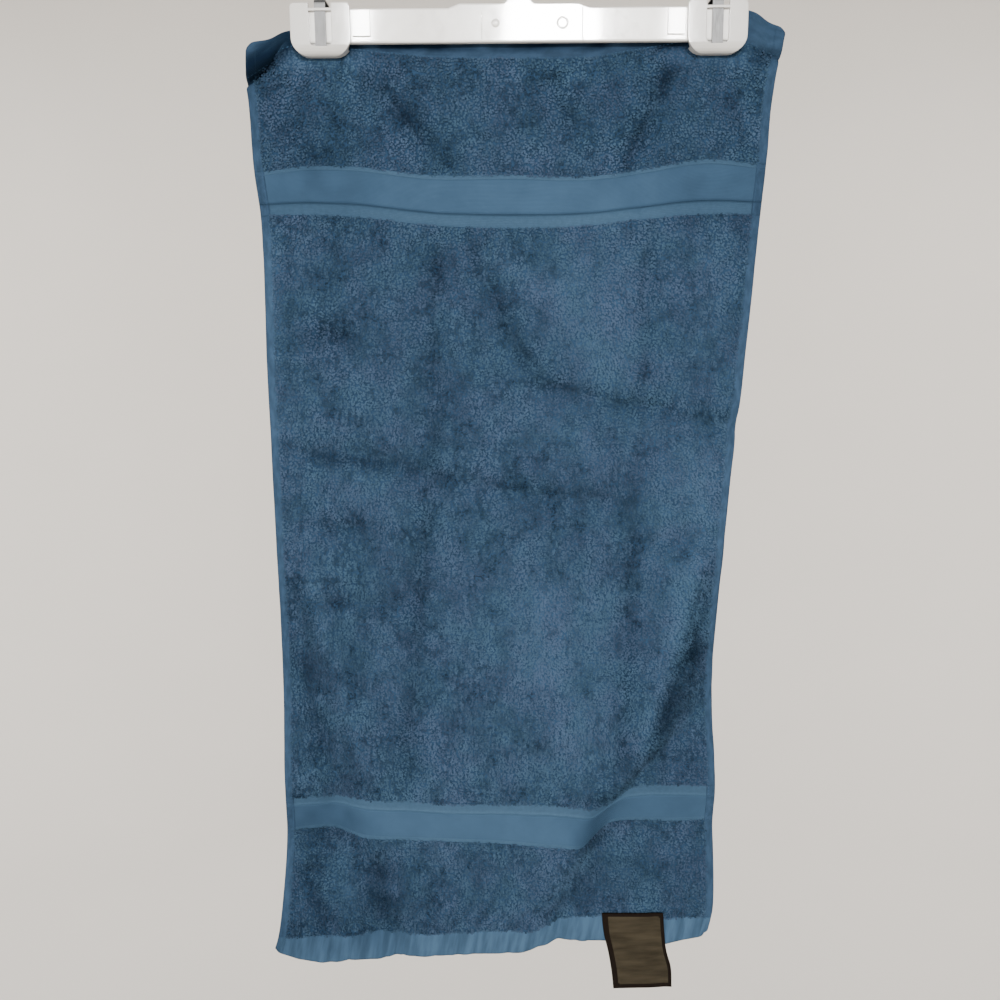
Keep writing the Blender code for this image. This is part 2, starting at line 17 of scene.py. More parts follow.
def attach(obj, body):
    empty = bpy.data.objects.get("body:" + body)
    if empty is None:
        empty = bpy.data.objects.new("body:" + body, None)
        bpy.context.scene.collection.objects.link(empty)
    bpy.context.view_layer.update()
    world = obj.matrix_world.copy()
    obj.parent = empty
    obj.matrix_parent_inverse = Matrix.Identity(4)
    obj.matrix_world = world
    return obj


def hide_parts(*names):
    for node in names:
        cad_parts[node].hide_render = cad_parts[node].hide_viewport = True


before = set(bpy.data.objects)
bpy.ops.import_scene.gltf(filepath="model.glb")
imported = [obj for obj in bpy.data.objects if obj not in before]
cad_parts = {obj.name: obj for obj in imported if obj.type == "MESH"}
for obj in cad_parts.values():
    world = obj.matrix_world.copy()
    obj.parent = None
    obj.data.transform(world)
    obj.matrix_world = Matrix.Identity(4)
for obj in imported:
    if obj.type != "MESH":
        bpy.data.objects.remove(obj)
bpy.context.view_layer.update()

bl_info = {
    "name": "Terry hand towel on a clip hanger",
    "version": (1, 0, 0),
    "blender": (4, 5, 0),
    "location": "View3D > Sidebar > Towel",
    "description": "Builds the cloth, pile, stitching, label and hanger of a hanging terry hand towel",
    "category": "Object",
}

MM = 0.001

# Towel: cut size and the woven zones down its length
TOWEL_WIDTH = 406.0
HEM = 24.5
END_TERRY = 80.5
BORDER = 39.0
BODY = 474.0
TOWEL_LENGTH = 2 * (HEM + END_TERRY + BORDER) + BODY
SIDE_HEM = 7.5
CORNER_RADIUS = 7.0

# Where the towel and its clips hang
TOWEL_TOP_Z = -80.0
TOWEL_Y = 7.4
CLIP_X = 143.3
CLIP_WIDTH = 43.0
CLIP_BOTTOM = 24.4
LIP_TALL = 5.0
CLIP_MARGIN = 6.0
CLIP_FADE_ASIDE = 14.0
CLIP_FADE_BELOW = 26.0
PINCH_FLAT = 1.5
PINCH_REACH = 9.0
PINCHED_HALF = 1.2

# Hanger: its wire hook and its bar
WIRE = 3.4
HOOK_RADIUS = 19.0
HOOK_BEND = 10.0
HOOK_TIP_DEG = 202.0
HOOK_FOOT_Z = -65.1
HOOK_TIP_SHARE = 0.55
STEM_STEPS, BEND_STEPS, EYE_STEPS = 6, 16, 80
BAR_FRONT_Y = -3.5

# Each row is a line across the cloth: how far down the cloth it lies, where its ends hang, and how far
# each place along it hangs below (or above, if negative) a level line.
Section = namedtuple(
    "Section",
    "name down left_x right_x edge_l out_l clip_l mid_l centre mid_r in_r clip_r edge_r",
)
ACROSS = (0.0, 0.09, 0.18, 0.35, 0.51, 0.65, 0.77, 0.87, 1.0)
SECTIONS = (
    Section("top edge", 0.0, -204, 200, 10, 5, -2, 0, 1, 0, -5, -10, 3),
    Section("top hem line", 24.5, -203, 194, 10, -8, -6, 0, 1.5, 0.5, -6, -11, -2),
    Section("top border starts", 105, -200, 186, -1, -5, -5, 2, 2, 3.5, -2, -8, -4),
    Section("top border ends", 144, -196.5, 183, -8, -8, -6.5, 0.5, 3, 1.5, -3, -6, -6),
    Section("upper body", 260, -197, 174.5, -7, -7, -5, 0, 2.5, 2, -1, -3, -5),
    Section("middle of body", 390, -197, 164.5, -7, -6, -4, 0, 2, 2, 0, -2, -3),
    Section("lower body", 520, -199, 162.5, -6, -6, -4, 0, 2, 3, 1, -1, -1),
    Section("low border starts", 618, -203, 165.5, 2, 0, -3, 0.5, 2, 3, 6, 5, 6),
    Section("low border ends", 657, -203, 165, -5, -8, -6, -3.5, 0, 3.5, 3, 4, 2),
    Section("low hem line", 737.5, -213, 165, 8.5, 9, 5, 3.5, 1, 4, 1, 3, 3),
    Section("bottom edge", 762, -217, 161, -3, 7, 4.5, 1, -1.5, -1, -1, 2.5, -7),
)

# Past a turn the cloth eases back to its share of "back" over this many half bends
TURN_EASE = 4.5

# A turn is a line down one side of the cloth, past which the side falls back. lift is how much higher the
# woven lines run past it, back how far the cloth falls back, soft half the width of the bend, and edge the
# share of back that is left at the towel's edge.
Turn = namedtuple("Turn", "down x lift back soft edge")
RIGHT_TURN = (
    Turn(0, 170, 0, 3, 10, 1.5),
    Turn(60, 171, 0, 6, 12, 1.2),
    Turn(105, 170, 0, 4, 14, 1.1),
    Turn(150, 166, 0, 3, 16, 1.0),
    Turn(300, 164, 0, 2, 18, 1.0),
    Turn(389, 160, 0, 4, 18, 0.9),
    Turn(441, 155, 2, 13, 18, 1.0),
    Turn(502, 143, 6, 22, 19, 1.0),
    Turn(564, 125, 11, 23, 19, 1.0),
    Turn(595, 98, 14, 15, 19, 0.9),
    Turn(625, 73, 15, 11, 18, 0.8),
    Turn(655, 63, 17, 16, 17, 0.8),
    Turn(700, 37, 14, 11, 18, 0.6),
    Turn(762, 14, 9, 4, 24, 0.4),
)
LEFT_TURN = (
    Turn(0, -170, 0, 3, 9, 1.4),
    Turn(60, -168, 0, 8, 11, 1.2),
    Turn(105, -170, 0, 6, 13, 1.1),
    Turn(150, -174, 0, 3, 16, 1.0),
    Turn(300, -180, 0, 2, 18, 1.0),
    Turn(389, -188, 0, 3, 18, 1.0),
    Turn(441, -182, 0, 6, 18, 0.9),
    Turn(519, -164, 0, 12, 19, 0.9),
    Turn(590, -148, 0, 14, 19, 0.9),
    Turn(640, -146, 0, 17, 19, 0.85),
    Turn(675, -148, 0, 16, 18, 0.75),
    Turn(700, -152, 0, 11, 17, 0.65),
    Turn(762, -164, 0, 2, 20, 0.4),
)

# A fold runs straight from its start to its end, bowed sideways in the middle. depth is how far the cloth
# goes back there (forward if negative); left and right are the widths of its two flanks, seen along it.
Fold = namedtuple("Fold", "name x1 down1 x2 down2 bow depth left right")
FOLDS = (
    Fold("long trough, upper", -61, 130, -69, 335, 0, 5, 16, 13),
    Fold("long trough, lower", -67, 310, -98, 640, -3, 6, 15, 11),
    Fold("right trough, upper", 97, 135, 98, 300, 0, 4, 11, 11),
    Fold("right trough, lower", 97, 286, 83, 575, -3, 4, 12, 12),
    Fold("right swell", 118, 300, 116, 380, 0, -4, 16, 18),
    Fold("crease across left", -190, 318, -64, 339, 9, 4.5, 11, 11),
    Fold("crease across middle", -80, 332, 100, 358, -7, 4, 12, 11),
    Fold("crease arc, falling", -38, 156, 20, 268, -4, 4.5, 12, 11),
    Fold("crease arc, level", 4, 256, 128, 285, -8, 5, 11, 11),
    Fold("crease to right edge", 98, 281, 182, 302, -2, 4.5, 11, 12),
    Fold("swell under the arc", 30, 305, 80, 330, 0, -4, 20, 18),
    Fold("crease low left", -180, 437, -62, 440, 0, 3, 11, 11),
    Fold("dent left", -162, 379, -120, 377, 0, 4.5, 11, 11),
    Fold("dent upper left", -158, 222, -128, 226, 0, 4.5, 14, 14),
    Fold("short crease right", 100, 391, 150, 389, 0, 4, 11, 11),
    Fold("fan wrinkle, outer", -56, 148, -16, 280, 1, 3.5, 11, 11),
    Fold("fan wrinkle, inner", -44, 146, 32, 218, -4, 3, 11, 11),
    Fold("centre swell", 16, 425, 6, 585, 0, -6, 44, 40),
    Fold("ridge before turn", 150, 380, 92, 600, -4, -6, 34, 18),
    Fold("ridge at low border", 84, 590, 40, 700, 6, -5, 36, 18),
    Fold("ridge low left", -178, 385, -124, 606, 0, -5, 12, 30),
    Fold("top trough left", -112, 34, -48, 104, -4, 5, 14, 12),
    Fold("top trough right", 110, 28, 76, 108, 5, 6, 13, 11),
    Fold("top dent centre", 22, 30, 44, 78, 0, 4, 13, 12),
    Fold("border rise right", 80, 98, 94, 142, 0, 3, 12, 10),
    Fold("end trough", -122, 660, -126, 758, 0, 6, 15, 13),
    Fold("end trough outer", -188, 676, -172, 752, 0, 5, 12, 12),
    Fold("hem pucker left", -108, 716, -110, 775, 0, 3, 11, 11),
    Fold("hem pucker middle", 30, 712, 34, 770, 0, 3, 11, 11),
)
FOLD_FADE = 0.22

# Puckers at the low hem's stitches: x and distance down of each one's start and end, depth, and two flanks
HEM_PUCKERS = (
    (-118, 722, -120, 770, 1.1, 2.6, 2.2),
    (-104, 724, -103, 770, 1.4, 2.4, 2.6),
    (-92, 722, -94, 768, 1.0, 2.6, 2.4),
    (-78, 724, -76, 768, 1.2, 2.2, 2.8),
    (-64, 724, -65, 768, 0.9, 2.4, 2.4),
    (-150, 726, -152, 776, 1.0, 3.0, 2.4),
    (-10, 718, -12, 764, 0.9, 3.0, 2.6),
    (46, 716, 47, 758, 1.3, 2.4, 2.2),
    (56, 716, 58, 758, 1.1, 2.4, 2.4),
    (140, 716, 142, 750, 1.2, 2.6, 2.4),
)

# Small creases that only the fine cloth shows
SMALL_FOLDS = tuple(Fold("pucker at low hem", *row[:4], 0, *row[4:]) for row in HEM_PUCKERS) + (
    Fold("fan wrinkle 3", -64, 150, -34, 262, -5, 1.3, 4.5, 4.0),
    Fold("fan wrinkle 4", -8, 148, 20, 214, 3, 1.2, 4.5, 4.0),
    Fold("fan wrinkle 5", -84, 152, -76, 232, 2, 1.1, 5.0, 4.5),
    Fold("short crease left", -196, 268, -150, 276, 2, 1.3, 4.5, 4.0),
    Fold("short crease in middle", -36, 384, 20, 392, 3, 1.1, 5.0, 4.5),
    Fold("short crease low", -150, 520, -96, 512, -3, 1.1, 5.0, 5.0),
    Fold("short crease low right", 20, 470, 74, 452, 3, 1.2, 5.0, 4.5),
    Fold("clip pull, left", -120, 30, -96, 96, 3, 1.6, 5.0, 4.5),
    Fold("clip pull, left outer", -160, 34, -172, 98, -2, 1.3, 4.5, 4.5),
    Fold("clip pull, right", 122, 26, 112, 92, -3, 1.5, 5.0, 4.5),
    Fold("clip pull, right outer", 158, 28, 168, 92, 2, 1.3, 4.5, 4.5),
    Fold("hollow beside the turn", 154, 405, 106, 578, 4, 4.5, 8.0, 10.0),
    Fold("hollow at the low border", 80, 600, 54, 664, 0, 2.5, 7.0, 8.0),
    Fold("hollow low left", -184, 440, -164, 600, 0, 3.0, 8.0, 9.0),
    Fold("end crease", -60, 668, -92, 736, 3, 1.6, 5.5, 5.0),
    Fold("end crease right", 96, 652, 112, 722, -3, 1.4, 5.0, 5.0),
)
# The bottom of each main crease is sharper than its flanks: its share of the depth and of the widths
CREASE_CORE_DEPTH = 0.45
CREASE_CORE_WIDTH = 0.4

# How much the small creases swell and fade along their way
CREASE_BREAKS = 0.7

# A layer of noise over the cloth: its share, the size of its lumps, its seed, and how much slower it changes
# down the cloth than across it
Layer = namedtuple("Layer", "share lump seed drawn", defaults=(1.0,))
CREASE_NOISE = (Layer(CREASE_BREAKS, 19.0, 21),)
UNEVEN_NOISE = (Layer(0.65, 34.0, 3), Layer(0.35, 13.0, 5))

# The two top corners lean back past the clips, each over a crease that runs from beside the clip to the
# side edge. side is -1 at the left, x and reach where it begins and how soon it is full, lean how far the
# hem leans back, crease how deep the crease is, start and end how far down the cloth it runs, and flare how
# far it lets the edge out.
Corner = namedtuple("Corner", "side x reach lean crease start end flare")
CORNERS = (
    Corner(-1, -168.0, 20.0, 12.0, 15.0, 15.0, 28.0, 4.0),
    Corner(1, 169.0, 20.0, 11.0, 8.0, 24.0, 27.0, 2.0),
)
CORNER_CREASE_WIDTH = 8.0
# The bottom of a corner's crease: its share of the depth and of the width
CORNER_CORE_DEPTH = 0.6
CORNER_CORE_WIDTH = 0.42

# Half the thickness of each zone of the cloth, without its pile
GROUND_HALF = 0.75
BORDER_HALF = 1.05
HEM_HALF = 1.2
SIDE_HEM_HALF = 1.1
ZONE_STEP = 0.9

# A woven border, from the edge that is nearer to the towel's end: a plain outer band, the main band, a
# groove (a low rib in the other border), and a lower inner band
OUTER_BAND = 3.8
GROOVE_AT = 29.2
GROOVE_DEEP = 0.25
GROOVE_HALF = 0.5
GROOVE_ROWS = (-1.6, -0.8, 0.0, 0.8, 1.6)
OUTER_BAND_ROWS = (0.0, 0.2)
INNER_BAND_LOWER = 0.35
# Painted highlight on the low rib and the outer edges, painted shade in the top groove, and how wide they are
RIB_HIGHLIGHT = 0.9
EDGE_HIGHLIGHT = 0.4
GROOVE_SHADE = -0.4
RIB_WIDE = 1.3

# The hems are drawn up in small puckers along their stitches, less at the top, where the clips draw it taut
PUCKER = 1.3
TOP_PUCKER = 0.35
PUCKER_WIDE = 7.5
PUCKER_TALL = 60.0
PUCKER_FADE = 9.0
PUCKER_SEED = 8

# Where the pile has been brushed, and where shade and light are painted on it, along a line from its start to
# its end: how light (or dark, if negative) it lies there, and how flat it is pressed. Some are brushed nap,
# which also presses the pile flat; the dark lines under the bar, in the corners' creases and along the
# creases, troughs, dents and turns are painted shade, and the light ridges and swells are painted highlights.
NapAndShade = namedtuple("NapAndShade", "name x1 drop1 x2 drop2 width tone flat")
NAPS_AND_SHADES = (
    NapAndShade("dark, top left diagonal", -108, 34, -56, 96, 9, -0.6, 0),
    NapAndShade("dark, top right diagonal", 112, 34, 80, 98, 8, -0.7, 0),
    # Painted shadow of the bar on the top hem
    NapAndShade("dark, under the bar, left", -122, 15, -20, 16.4, 3.5, -2.1, 0),
    NapAndShade("dark, under the bar, right", -20, 16.4, 122, 15.6, 3.5, -2.1, 0),
    NapAndShade("dark, step of the low border", 56, 655, 70, 618, 12, -0.7, 0),
    NapAndShade("dark, top centre", 34, 46, 40, 66, 9, -0.6, 0),
    NapAndShade("dark, top left", -186, 52, -154, 92, 18, -0.4, 0),
    NapAndShade("dark spot, upper left", -156, 224, -140, 228, 14, -0.8, 0),
    # Painted shade in the troughs, creases and dents
    NapAndShade("dark, long trough, upper", -64, 155, -68, 332, 7, -0.6, 0),
    NapAndShade("dark, long trough, lower", -70, 332, -97, 600, 7, -0.6, 0),
    NapAndShade("dark, right trough, upper", 97, 150, 98, 275, 6, -0.6, 0),
    NapAndShade("dark, right trough, lower", 95, 330, 84, 585, 8, -0.5, 0),
    NapAndShade("dark, arc falling", -34, 165, 14, 258, 7, -0.6, 0),
    NapAndShade("dark, arc level", 12, 262, 96, 284, 6, -0.6, 0),
    NapAndShade("dark, arc to the edge", 104, 282, 150, 296, 6, -0.5, 0),
    NapAndShade("dark, crease left", -170, 320, -72, 334, 6, -0.5, 0),
    NapAndShade("dark, crease middle", -66, 338, 86, 358, 6, -0.35, 0),
    NapAndShade("dark, dent left", -156, 377, -130, 377, 8, -0.6, 0),
    # Painted shade where the sides fall back past their turns
    NapAndShade("dark, beside the turn", 154, 418, 140, 492, 6, -1.1, 0),
    NapAndShade("dark, beside the turn, low", 138, 492, 112, 570, 12, -1.0, 0),
    NapAndShade("dark, low left", -184, 500, -172, 580, 10, -0.6, 0),
    NapAndShade("dark, left edge", -184, 420, -182, 450, 7, -0.6, 0),
    NapAndShade("dark, crease low left", -170, 437, -100, 440, 6, -0.4, 0),
    NapAndShade("dark, end left", -182, 690, -174, 725, 12, -0.8, 0),
    NapAndShade("dark, end trough", -124, 672, -120, 720, 14, -0.8, 0),
    NapAndShade("dark, end right", 62, 665, 52, 715, 12, -0.4, 0),
    NapAndShade("smooth, upper middle", 40, 190, 66, 240, 26, 0.8, 0.7),
    NapAndShade("smooth, by the right trough", 84, 170, 86, 240, 9, 0.5, 0.5),
    NapAndShade("light, under the arc", 28, 300, 50, 322, 18, 0.6, 0.3),
    NapAndShade("smooth, low middle", 18, 445, 24, 500, 17, 1.0, 0.7),
    NapAndShade("light, low right of middle", 60, 440, 54, 570, 20, 0.45, 0.2),
    NapAndShade("light, right", 146, 318, 140, 372, 13, 0.8, 0.4),
    NapAndShade("light, upper right", 150, 170, 158, 270, 16, 0.35, 0.3),
    # Painted highlights along the ridges beside the turns
    NapAndShade("light ridge, right", 138, 410, 100, 566, 7, 1.0, 0.3),
    NapAndShade("light ridge, left", -176, 392, -130, 584, 6, 0.6, 0.2),
    NapAndShade("light, left edge", -188, 160, -188, 300, 8, 0.5, 0.2),
    NapAndShade("light, left of long trough", -116, 485, -108, 520, 12, 0.4, 0.1),
    NapAndShade("light, under the left crease", -130, 345, -100, 360, 12, 0.4, 0.1),
    NapAndShade("light, between end troughs", -152, 670, -150, 710, 9, 0.5, 0),
    NapAndShade("light, in the fan", -20, 170, 20, 196, 8, 0.5, 0.2),
    # Painted shade in the corners' creases, and a painted highlight on the left corner's flap
    NapAndShade("dark, in the left corner's crease", -200, 28, -171, 9, 9, -3.2, 0),
    NapAndShade("paler, left corner's flap", -204, 12, -194, 4, 8, 0.9, 0),
    NapAndShade("dark, in the right corner's crease", 186, 24, 172, 26, 5, -0.8, 0),
    NapAndShade("deeper, top border left", -190, 120, -130, 124, 28, -0.35, 0),
    NapAndShade("deeper, top border right", 130, 118, 178, 120, 28, -0.4, 0),
    NapAndShade("deeper, low border left", -190, 634, -160, 636, 26, -0.7, 0),
    NapAndShade("deeper, low border right", 66, 640, 150, 622, 24, -0.25, 0),
    NapAndShade("light, low border middle", -60, 642, 40, 652, 26, 0.15, 0),
    NapAndShade("deeper, low hem left", -216, 752, -120, 748, 22, -0.6, 0),
    NapAndShade("paler, upper right", 62, 165, 140, 380, 45, 0.28, 0),
    NapAndShade("paler, low middle", 0, 440, 28, 560, 42, 0.3, 0),
    NapAndShade("paler, right of middle", 122, 340, 130, 450, 30, 0.5, 0.1),
    NapAndShade("deeper, end right", 90, 690, 170, 690, 28, -0.25, 0),
    NapAndShade("deeper, low left", -170, 470, -150, 560, 40, -0.25, 0),
    NapAndShade("deeper, by the low right turn", 140, 500, 110, 580, 30, -0.35, 0),
    NapAndShade("deeper, end left", -170, 670, -90, 720, 30, -0.3, 0),
    NapAndShade("deeper, top", -190, 60, 180, 60, 40, -0.2, 0),
)
# How much the brushed and painted places swell and fade from one spot to the next, how narrow one is before
# it does so in full, and the lumps, seed and shift of that noise
NAP_AND_SHADE_BREAKS = 0.85
NAP_AND_SHADE_NARROW = 8.0
NAP_AND_SHADE_LUMP = 12.0
NAP_AND_SHADE_SEED = 23
NAP_AND_SHADE_SHIFT = 300.0
# The darkest and the lightest that the nap and the painted shade and light may add up to, the share of it
# that a finish shows, and the lowest value that a finish is given, where 0.5 is plain
NAP_AND_SHADE_RANGE = (-2.6, 1.2)
NAP_AND_SHADE_SHARE = 0.225
NAP_AND_SHADE_DEEPEST = -0.15
NAP_AND_SHADE_PLAIN = 0.5
# The darkest tone on the back, where nothing shades the cloth
BACK_DEEPEST = -0.7

# Loops stand in tufts, which lean together at their tips: size, seed, how far each is from an even grid, how
# strongly it draws its loops in, how far it reaches, and how much lower it is there
TUFT_WIDE = 5.0
TUFT_TALL = 7.0
TUFT_SEED = 9
TUFT_SHIFT = 0.4
TUFT_PULL = 0.9
TUFT_REACH = 0.6
TUFT_DOME = 0.3

# How the loops stand: how deep their feet are in the ground, how far they overlap the side hems, how far
# from even rows they are, how far they lie down the cloth, how unevenly they lean, the share of the lean
# that shows, how much of them is left between a clip's lips, and how their height, length and width range
LOOP_SUNK = 0.15
LOOP_OVERLAP = 0.8
LOOP_JITTER = 0.42
LOOP_LIE = 0.2
LOOP_STRAY = 0.18
LEAN_SHARE = 0.8
LOOP_PINCHED = 0.2
LOOP_HEIGHTS = (0.88, 1.08)
LOOP_SPANS = (0.75, 1.15)
LOOP_WIDTHS = (0.6, 0.85)
LEAN_ACROSS_NOISE = (Layer(0.3, 26.0, 11), Layer(0.3, 9.0, 12))
LEAN_DOWN_NOISE = (Layer(0.35, 30.0, 13), Layer(0.3, 8.0, 14))

# Where the pile is pressed flat: how far it leans, and how much it loses of its height, its clumps and the
# pull of its tufts
FLAT_LEAN = 0.8
FLAT_LOW = 0.25
FLAT_CALM = 0.6
FLAT_LOOSE = 0.7

# The tone of the loops: in clumps, by tuft, painted shade in the gaps between some tufts, and loop by loop
CLUMP_NOISE = (Layer(0.1, 6.0, 17, 0.7), Layer(0.13, 13.0, 18, 0.6), Layer(0.07, 32.0, 19, 0.7))
GAP_SHADE_NOISE = (Layer(2.0, 11.0, 24),)
TUFT_TONE = 0.06
GAP_SHADE = 0.3
LOOP_TONE = 0.035

# The label from its sewn edge to its end: the two ends of each line across it, down as a real drop
LabelLine = namedtuple("LabelLine", "share left_x left_down right_x right_down")
LABEL_LINES = (
    LabelLine(0.0, 69.5, 725, 122.5, 723.5),
    LabelLine(0.25, 71.5, 744, 124, 743),
    LabelLine(0.5, 75.5, 762, 126, 759.5),
    LabelLine(0.75, 78.5, 780, 130.5, 777),
    LabelLine(1.0, 80.5, 798, 131.5, 795),
)
LABEL_FLAT = (53.0, 73.0)
LABEL_THICK = 1.0
LABEL_GAP = 0.45
LABEL_SWING = 0.4
LABEL_CELLS = (53, 73)
# How wide its dark edge is at the left, right, top and bottom
LABEL_EDGES = (5.2, 3.2, 3.0, 4.2)
# Its wrinkles: how high and how far apart they are, how they slant and stray, how far inside the dark edge
# they are full, and how much stronger they are at the left
LABEL_WRINKLE = 0.5
LABEL_WRINKLE_PITCH = 12.0
LABEL_WRINKLE_SLANT = 0.35
LABEL_WRINKLE_STRAY = 0.4
LABEL_WRINKLE_LUMP = 20.0
LABEL_WRINKLE_SEED = 4
LABEL_WRINKLE_INSET = 5
LABEL_WRINKLE_LEFT = 1.2
LABEL_WRINKLE_LOSS = 0.9
# How thick its face is beside the dark edge, how soft the step between them is, and at how many places across
# it and down the hem the hem's front is looked for
LABEL_FACE_THIN = 0.62
LABEL_EDGE_SOFT = 0.6
LABEL_PROBES = 9
FRONT_STEPS = 120

# How fine the cloth's mesh is, how many cells the noise has before it repeats, and a length too small to see
CELLS_ACROSS = 150
CELLS_DOWN = 250
NOISE_CELLS = 256
# The share of its map's width that a closed sheet's front has, and its back
MAP_HALF = 0.49
TINY = 1e-6

# The camera that the towel was seen with: lens in pixels of a 1000 pixel frame, tilt down, turn about its
# own axis, distance, and the point of the towel's plane in the middle of its view
FRAME_PIXELS = 1000
LENS_PIXELS = 1072.0
CAMERA_TILT = 11.6
CAMERA_ROLL = 0.43
CAMERA_DISTANCE = 856.0
CAMERA_AIM = (-16.3, 7.4, -436.9)
SENSOR = 36.0


# ---------------------------------------------------------------- the shape of the cloth


def smooth(t):
    """0 to 1 with a soft start and end."""
    t = np.clip(t, 0.0, 1.0)
    return t * t * (3 - 2 * t)


def curve_through(xs, ys, x):
    """A smooth curve through (xs, ys), read at x. ys may hold one row for each x."""
    xs, x = np.asarray(xs, float), np.clip(np.asarray(x, float), xs[0], xs[-1])
    ys = np.broadcast_to(np.asarray(ys, float), x.shape + xs.shape)
    slopes = np.gradient(ys, xs, axis=-1)
    i = np.clip(np.searchsorted(xs, x, side="right") - 1, 0, len(xs) - 2)

    def at(values, place):
        return np.take_along_axis(values, place[..., None], -1)[..., 0]

    step = xs[i + 1] - xs[i]
    t = (x - xs[i]) / step
    start = (1 + 2 * t) * (1 - t) ** 2 * at(ys, i) + t * (1 - t) ** 2 * step * at(slopes, i)
    end = t * t * (3 - 2 * t) * at(ys, i + 1) - t * t * (1 - t) * step * at(slopes, i + 1)
    return start + end


def column(rows, name, at):
    """One named column of a table, read smoothly at a distance down the cloth."""
    return curve_through([r.down for r in rows], [getattr(r, name) for r in rows], at)


def hang(u, down):
    """Where the woven grid hangs before any folds: x, and the real drop below the top edge."""
    left, right = column(SECTIONS, "left_x", down), column(SECTIONS, "right_x", down)
    drops = [column(SECTIONS, name, down) for name in Section._fields[4:]]
    x = left + (right - left) * u
    drop = curve_through(ACROSS, np.stack(drops, axis=-1), u)
    past = smooth((x - column(RIGHT_TURN, "x", down)) / (2 * column(RIGHT_TURN, "soft", down)) + 0.5)
    return x, down + drop - column(RIGHT_TURN, "lift", down) * past


def turn_back(rows, side, x, down):
    """How far a side falls back past its turn. side is 1 for the right side and -1 for the left."""
    past = side * (x - column(rows, "x", down))
    soft = column(rows, "soft", down)
    back = column(rows, "back", down)
    easing = 1 - (1 - column(rows, "edge", down)) * smooth((past - soft) / (TURN_EASE * soft))
    return back * smooth(past / (2 * soft) + 0.5) * easing


def fold_depth(fold, x, drop):
    """How far back a fold takes the cloth at each place."""
    along = np.array([fold.x2 - fold.x1, fold.down2 - fold.down1])
    length = float(np.hypot(*along))
    along = along / length
    from_start = np.stack([x - fold.x1, drop - fold.down1], axis=-1)
    t = from_start @ along / length
    aside = from_start @ np.array([along[1], -along[0]]) - fold.bow * 4 * t * (1 - t)
    flank = np.where(aside < 0, fold.left, fold.right)
    ends = smooth(t / FOLD_FADE) * smooth((1 - t) / FOLD_FADE)
    return fold.depth * ends * np.exp(-((aside / flank) ** 2))


def crease_core(fold):
    """The sharp bottom of a main crease, as a narrower fold in the same place."""
    return fold._replace(
        depth=fold.depth * CREASE_CORE_DEPTH,
        left=fold.left * CREASE_CORE_WIDTH,
        right=fold.right * CREASE_CORE_WIDTH,
    )


FINE_FOLDS = SMALL_FOLDS + tuple(crease_core(fold) for fold in FOLDS if fold.depth > 0)


def corner_line(corner, x, down):
    """How far on past a clip a place is, from 0 to 1, how far down the crease is there, and how near."""
    past = smooth(corner.side * (x - corner.x) / corner.reach)
    line = corner.start + (corner.end - corner.start) * past
    return past, line, ((down - line) / CORNER_CREASE_WIDTH) ** 2


def corner_lean(corner, x, down):
    """The hem past a clip leans back over a crease between the clip and the side edge."""
    past, line, aside = corner_line(corner, x, down)
    above = smooth((line - down) / line)
    crease = np.exp(-aside) + CORNER_CORE_DEPTH * np.exp(-aside / CORNER_CORE_WIDTH**2)
    return past * (corner.lean * above + corner.crease * crease)


def corner_flare(corner, x, down):
    """The edge runs out a little where the crease takes it back."""
    past, _, aside = corner_line(corner, x, down)
    return corner.side * corner.flare * past * np.exp(-aside)


def clip_hold(x, drop):
    """1 where a clip holds the cloth flat, fading to 0 around it."""
    aside = np.abs(np.abs(x) - CLIP_X) - CLIP_WIDTH / 2 - CLIP_MARGIN
    return (1 - smooth(aside / CLIP_FADE_ASIDE)) * (1 - smooth((drop - CLIP_BOTTOM) / CLIP_FADE_BELOW))


def round_corners(u, down):
    """How far each place near a corner of the cloth is drawn in, across and down the cloth, to round it."""
    across, along = (u - 0.5) * TOWEL_WIDTH, down - TOWEL_LENGTH / 2
    near_side = np.maximum(np.abs(across) - TOWEL_WIDTH / 2 + CORNER_RADIUS, 0.0)
    near_end = np.maximum(np.abs(along) - TOWEL_LENGTH / 2 + CORNER_RADIUS, 0.0)
    reach = np.maximum(np.hypot(near_side, near_end), TINY)
    shrink = np.where(near_side * near_end > 0, 1 - np.maximum(near_side, near_end) / reach, 0.0)
    return -np.sign(across) * near_side * shrink, -np.sign(along) * near_end * shrink


def value_noise(across, down, cell, seed):
    """Smooth random values from -1 to 1 over the cloth, with lumps of about one cell."""
    lattice = np.random.default_rng(seed).uniform(-1, 1, (NOISE_CELLS, NOISE_CELLS))
    gx, gy = across / cell + seed, down / cell + seed
    i, j = np.floor(gx).astype(int), np.floor(gy).astype(int)
    s, t = smooth(gx - i), smooth(gy - j)

    def corner(a, b):
        return lattice[(i + a) % NOISE_CELLS, (j + b) % NOISE_CELLS]

    upper = corner(0, 0) * (1 - s) + corner(1, 0) * s
    lower = corner(0, 1) * (1 - s) + corner(1, 1) * s
    return upper * (1 - t) + lower * t


def layered_noise(layers, across, down):
    """The sum of some layers of noise over the cloth."""
    return sum(
        layer.share * value_noise(across, down * layer.drawn, layer.lump, layer.seed) for layer in layers
    )


def end_distance(down):
    """How far a place is from the nearer end of the towel."""
    return np.minimum(down, TOWEL_LENGTH - down)


